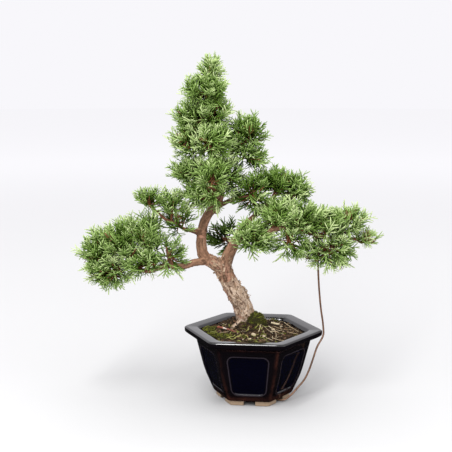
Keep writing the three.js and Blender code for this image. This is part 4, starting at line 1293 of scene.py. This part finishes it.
def spray_parts(root, centre, half, fullness, draw):
    """The twigs of a spray as shapes in place, and the placements of its branchlets."""
    root, middle = Vector(root), Vector(centre)
    run = middle - root
    end = root + run * (1 + 3 / max(run.length, 6))
    twigs, places = [], []
    core = through([root, root.lerp(end, 0.5) + Vector((0, 0, -0.6)), end], 3)
    core_radii = [(1.1 - 0.5 * i / len(core)) * MM for i in range(len(core))]
    twigs.append(stem([at(*p) for p in core], core_radii, 6))
    count = round(skin_area(half) / 100 * TWIGS_PER_CM2 * fullness)
    for i in range(count):
        up = 1 - 2 * (i + 0.5) / count
        around = i * GOLDEN_ANGLE + draw.uniform(-0.2, 0.2)
        level = math.sqrt(1 - up * up)
        out = Vector((level * math.cos(around), level * math.sin(around), up))
        tip = middle + Vector(out[k] * half[k] for k in range(3)) * draw.uniform(*TWIG_REACH)
        base = root.lerp(end, 0.25 + 0.7 * ((i * 0.618) % 1))
        bow = Vector((0, 0, -0.12 * (tip - base).length))
        line = through([base, base.lerp(tip, 0.5) + bow, tip], 2)
        taper = TWIG_R[1] - TWIG_R[0]
        radii = [(TWIG_R[0] + taper * k / (len(line) - 1)) * MM for k in range(len(line))]
        twigs.append(stem([at(*p) for p in line], radii, 4))
        for k in range(BRANCHLETS_PER_TWIG):
            share = 0.3 + 0.7 * k / (BRANCHLETS_PER_TWIG - 1)
            place = share * (len(line) - 1)
            low = min(int(place), len(line) - 2)
            start = line[low].lerp(line[low + 1], place - low)
            outward = Vector(((start[j] - centre[j]) / half[j] for j in range(3)))
            ahead = (line[low + 1] - line[low]).normalized()
            spread = Vector((draw.gauss(0, 0.35), draw.gauss(0, 0.35), draw.gauss(0, 0.3)))
            way = ahead * AHEAD + outward * OUTWARD + run.normalized() * ALONG_SPRAY + spread
            way = (way + Vector((0, 0, UPWARD))).normalized()
            size = draw.uniform(*BRANCHLET_SIZES)
            limit = SPRAY_LIMIT + SPRAY_RAGGED * noise.noise((start + way * 10) / RAGGED_SIZE)
            if (i * 5 + k * 3) % STRAY_EVERY == 0:
                limit += STRAY_REACH
            reach = way * BRANCHLET_LENGTH
            while size > SHORTEST_SHARE and not has_room(start + reach * size, centre, half, limit):
                size -= SHORTER_BY
            if size <= SHORTEST_SHARE or by_wire(start + reach * size * 0.7):
                continue
            flat_up = Vector((0, 0, 1)) + outward * 0.6
            turn = frame_along(way, flat_up, draw.gauss(0, 0.8))
            spot = set_down(at(*start), turn, size)
            outer = spray_level(start + reach * size * 0.6, centre, half)
            # Deeper in the spray the tone is painted darker, as shade; the scatter is the leaves' own.
            tone_and_shade = (outer - DARK_WITHIN) / DEPTH_SHADE_RISE + draw.gauss(0, TONE_SCATTER)
            places.append((spot, tone_and_shade, draw.random()))
    return twigs, places


leafage, tree, shader = new_material("juniper_foliage", 0.55, Specular_IOR_Level=0.1)
# The leaves' colour adds their own mottle and age to painted shade: darker deep in each spray and in the
# shaded sprays, lighter in the bright ones.
growth_and_shade = reckon(tree, "MULTIPLY", mottle(tree, 60, 400), LEAF_SHARES["mottle"])
for name in ("age", "tone_and_shade", "light"):
    growth_and_shade = reckon(tree, "MULTIPLY_ADD", attribute(tree, name), LEAF_SHARES[name], growth_and_shade)
shade = ramp(tree, map_range(tree, growth_and_shade, 0.24, 0.98), LEAF_COLOURS)
shade = mix_colours(tree, attribute(tree, "dry"), shade, DRY_LEAF)
set_colour(tree, shader, mix_colours(tree, attribute(tree, "woody"), shade, LEAF_TWIG))
scales = add_node(tree, "TexVoronoi", {"Vector": own_place(tree), "Scale": 1400.0})
bump(tree, shader, scales.outputs["Distance"], 0.5, 0.0002)

for index, (name, (root, centre, half)) in enumerate(SPRAYS.items()):
    draw = random.Random(1000 + index)
    twigs, places = spray_parts(root, centre, half, THIN_SPRAYS.get(name, 1), draw)
    shapes = branchlet_shapes + twigs
    placements = [(k % BRANCHLET_SHAPES, place[0], place[1]) for k, place in enumerate(places)]
    placements += [(BRANCHLET_SHAPES + k, Matrix.Identity(4), 0.5) for k in range(len(twigs))]
    spray = planted("spray_" + name, shapes, placements)
    dry, woody = [], []
    for k, (number, spot, tone_and_shade) in enumerate(placements):
        size = len(shapes[number][0])
        is_twig = number >= BRANCHLET_SHAPES
        is_dry = not is_twig and tone_and_shade < DRY_BELOW and places[k][2] < DRY_SHARE
        woody.append(np.full(size, float(is_twig)))
        dry.append(np.full(size, float(is_dry)))
    light = 0.5 + 0.5 * BRIGHT_SPRAYS.get(name, 0) - 0.5 * SHADED_SPRAYS.get(name, 0)
    store(spray, "light", np.full(len(spray.data.vertices), light))
    store(spray, "dry", np.concatenate(dry))
    store(spray, "woody", np.concatenate(woody))
    smooth(spray)
    spray.data.materials.append(leafage)
    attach(spray, "root")
    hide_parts("foliage_" + name)
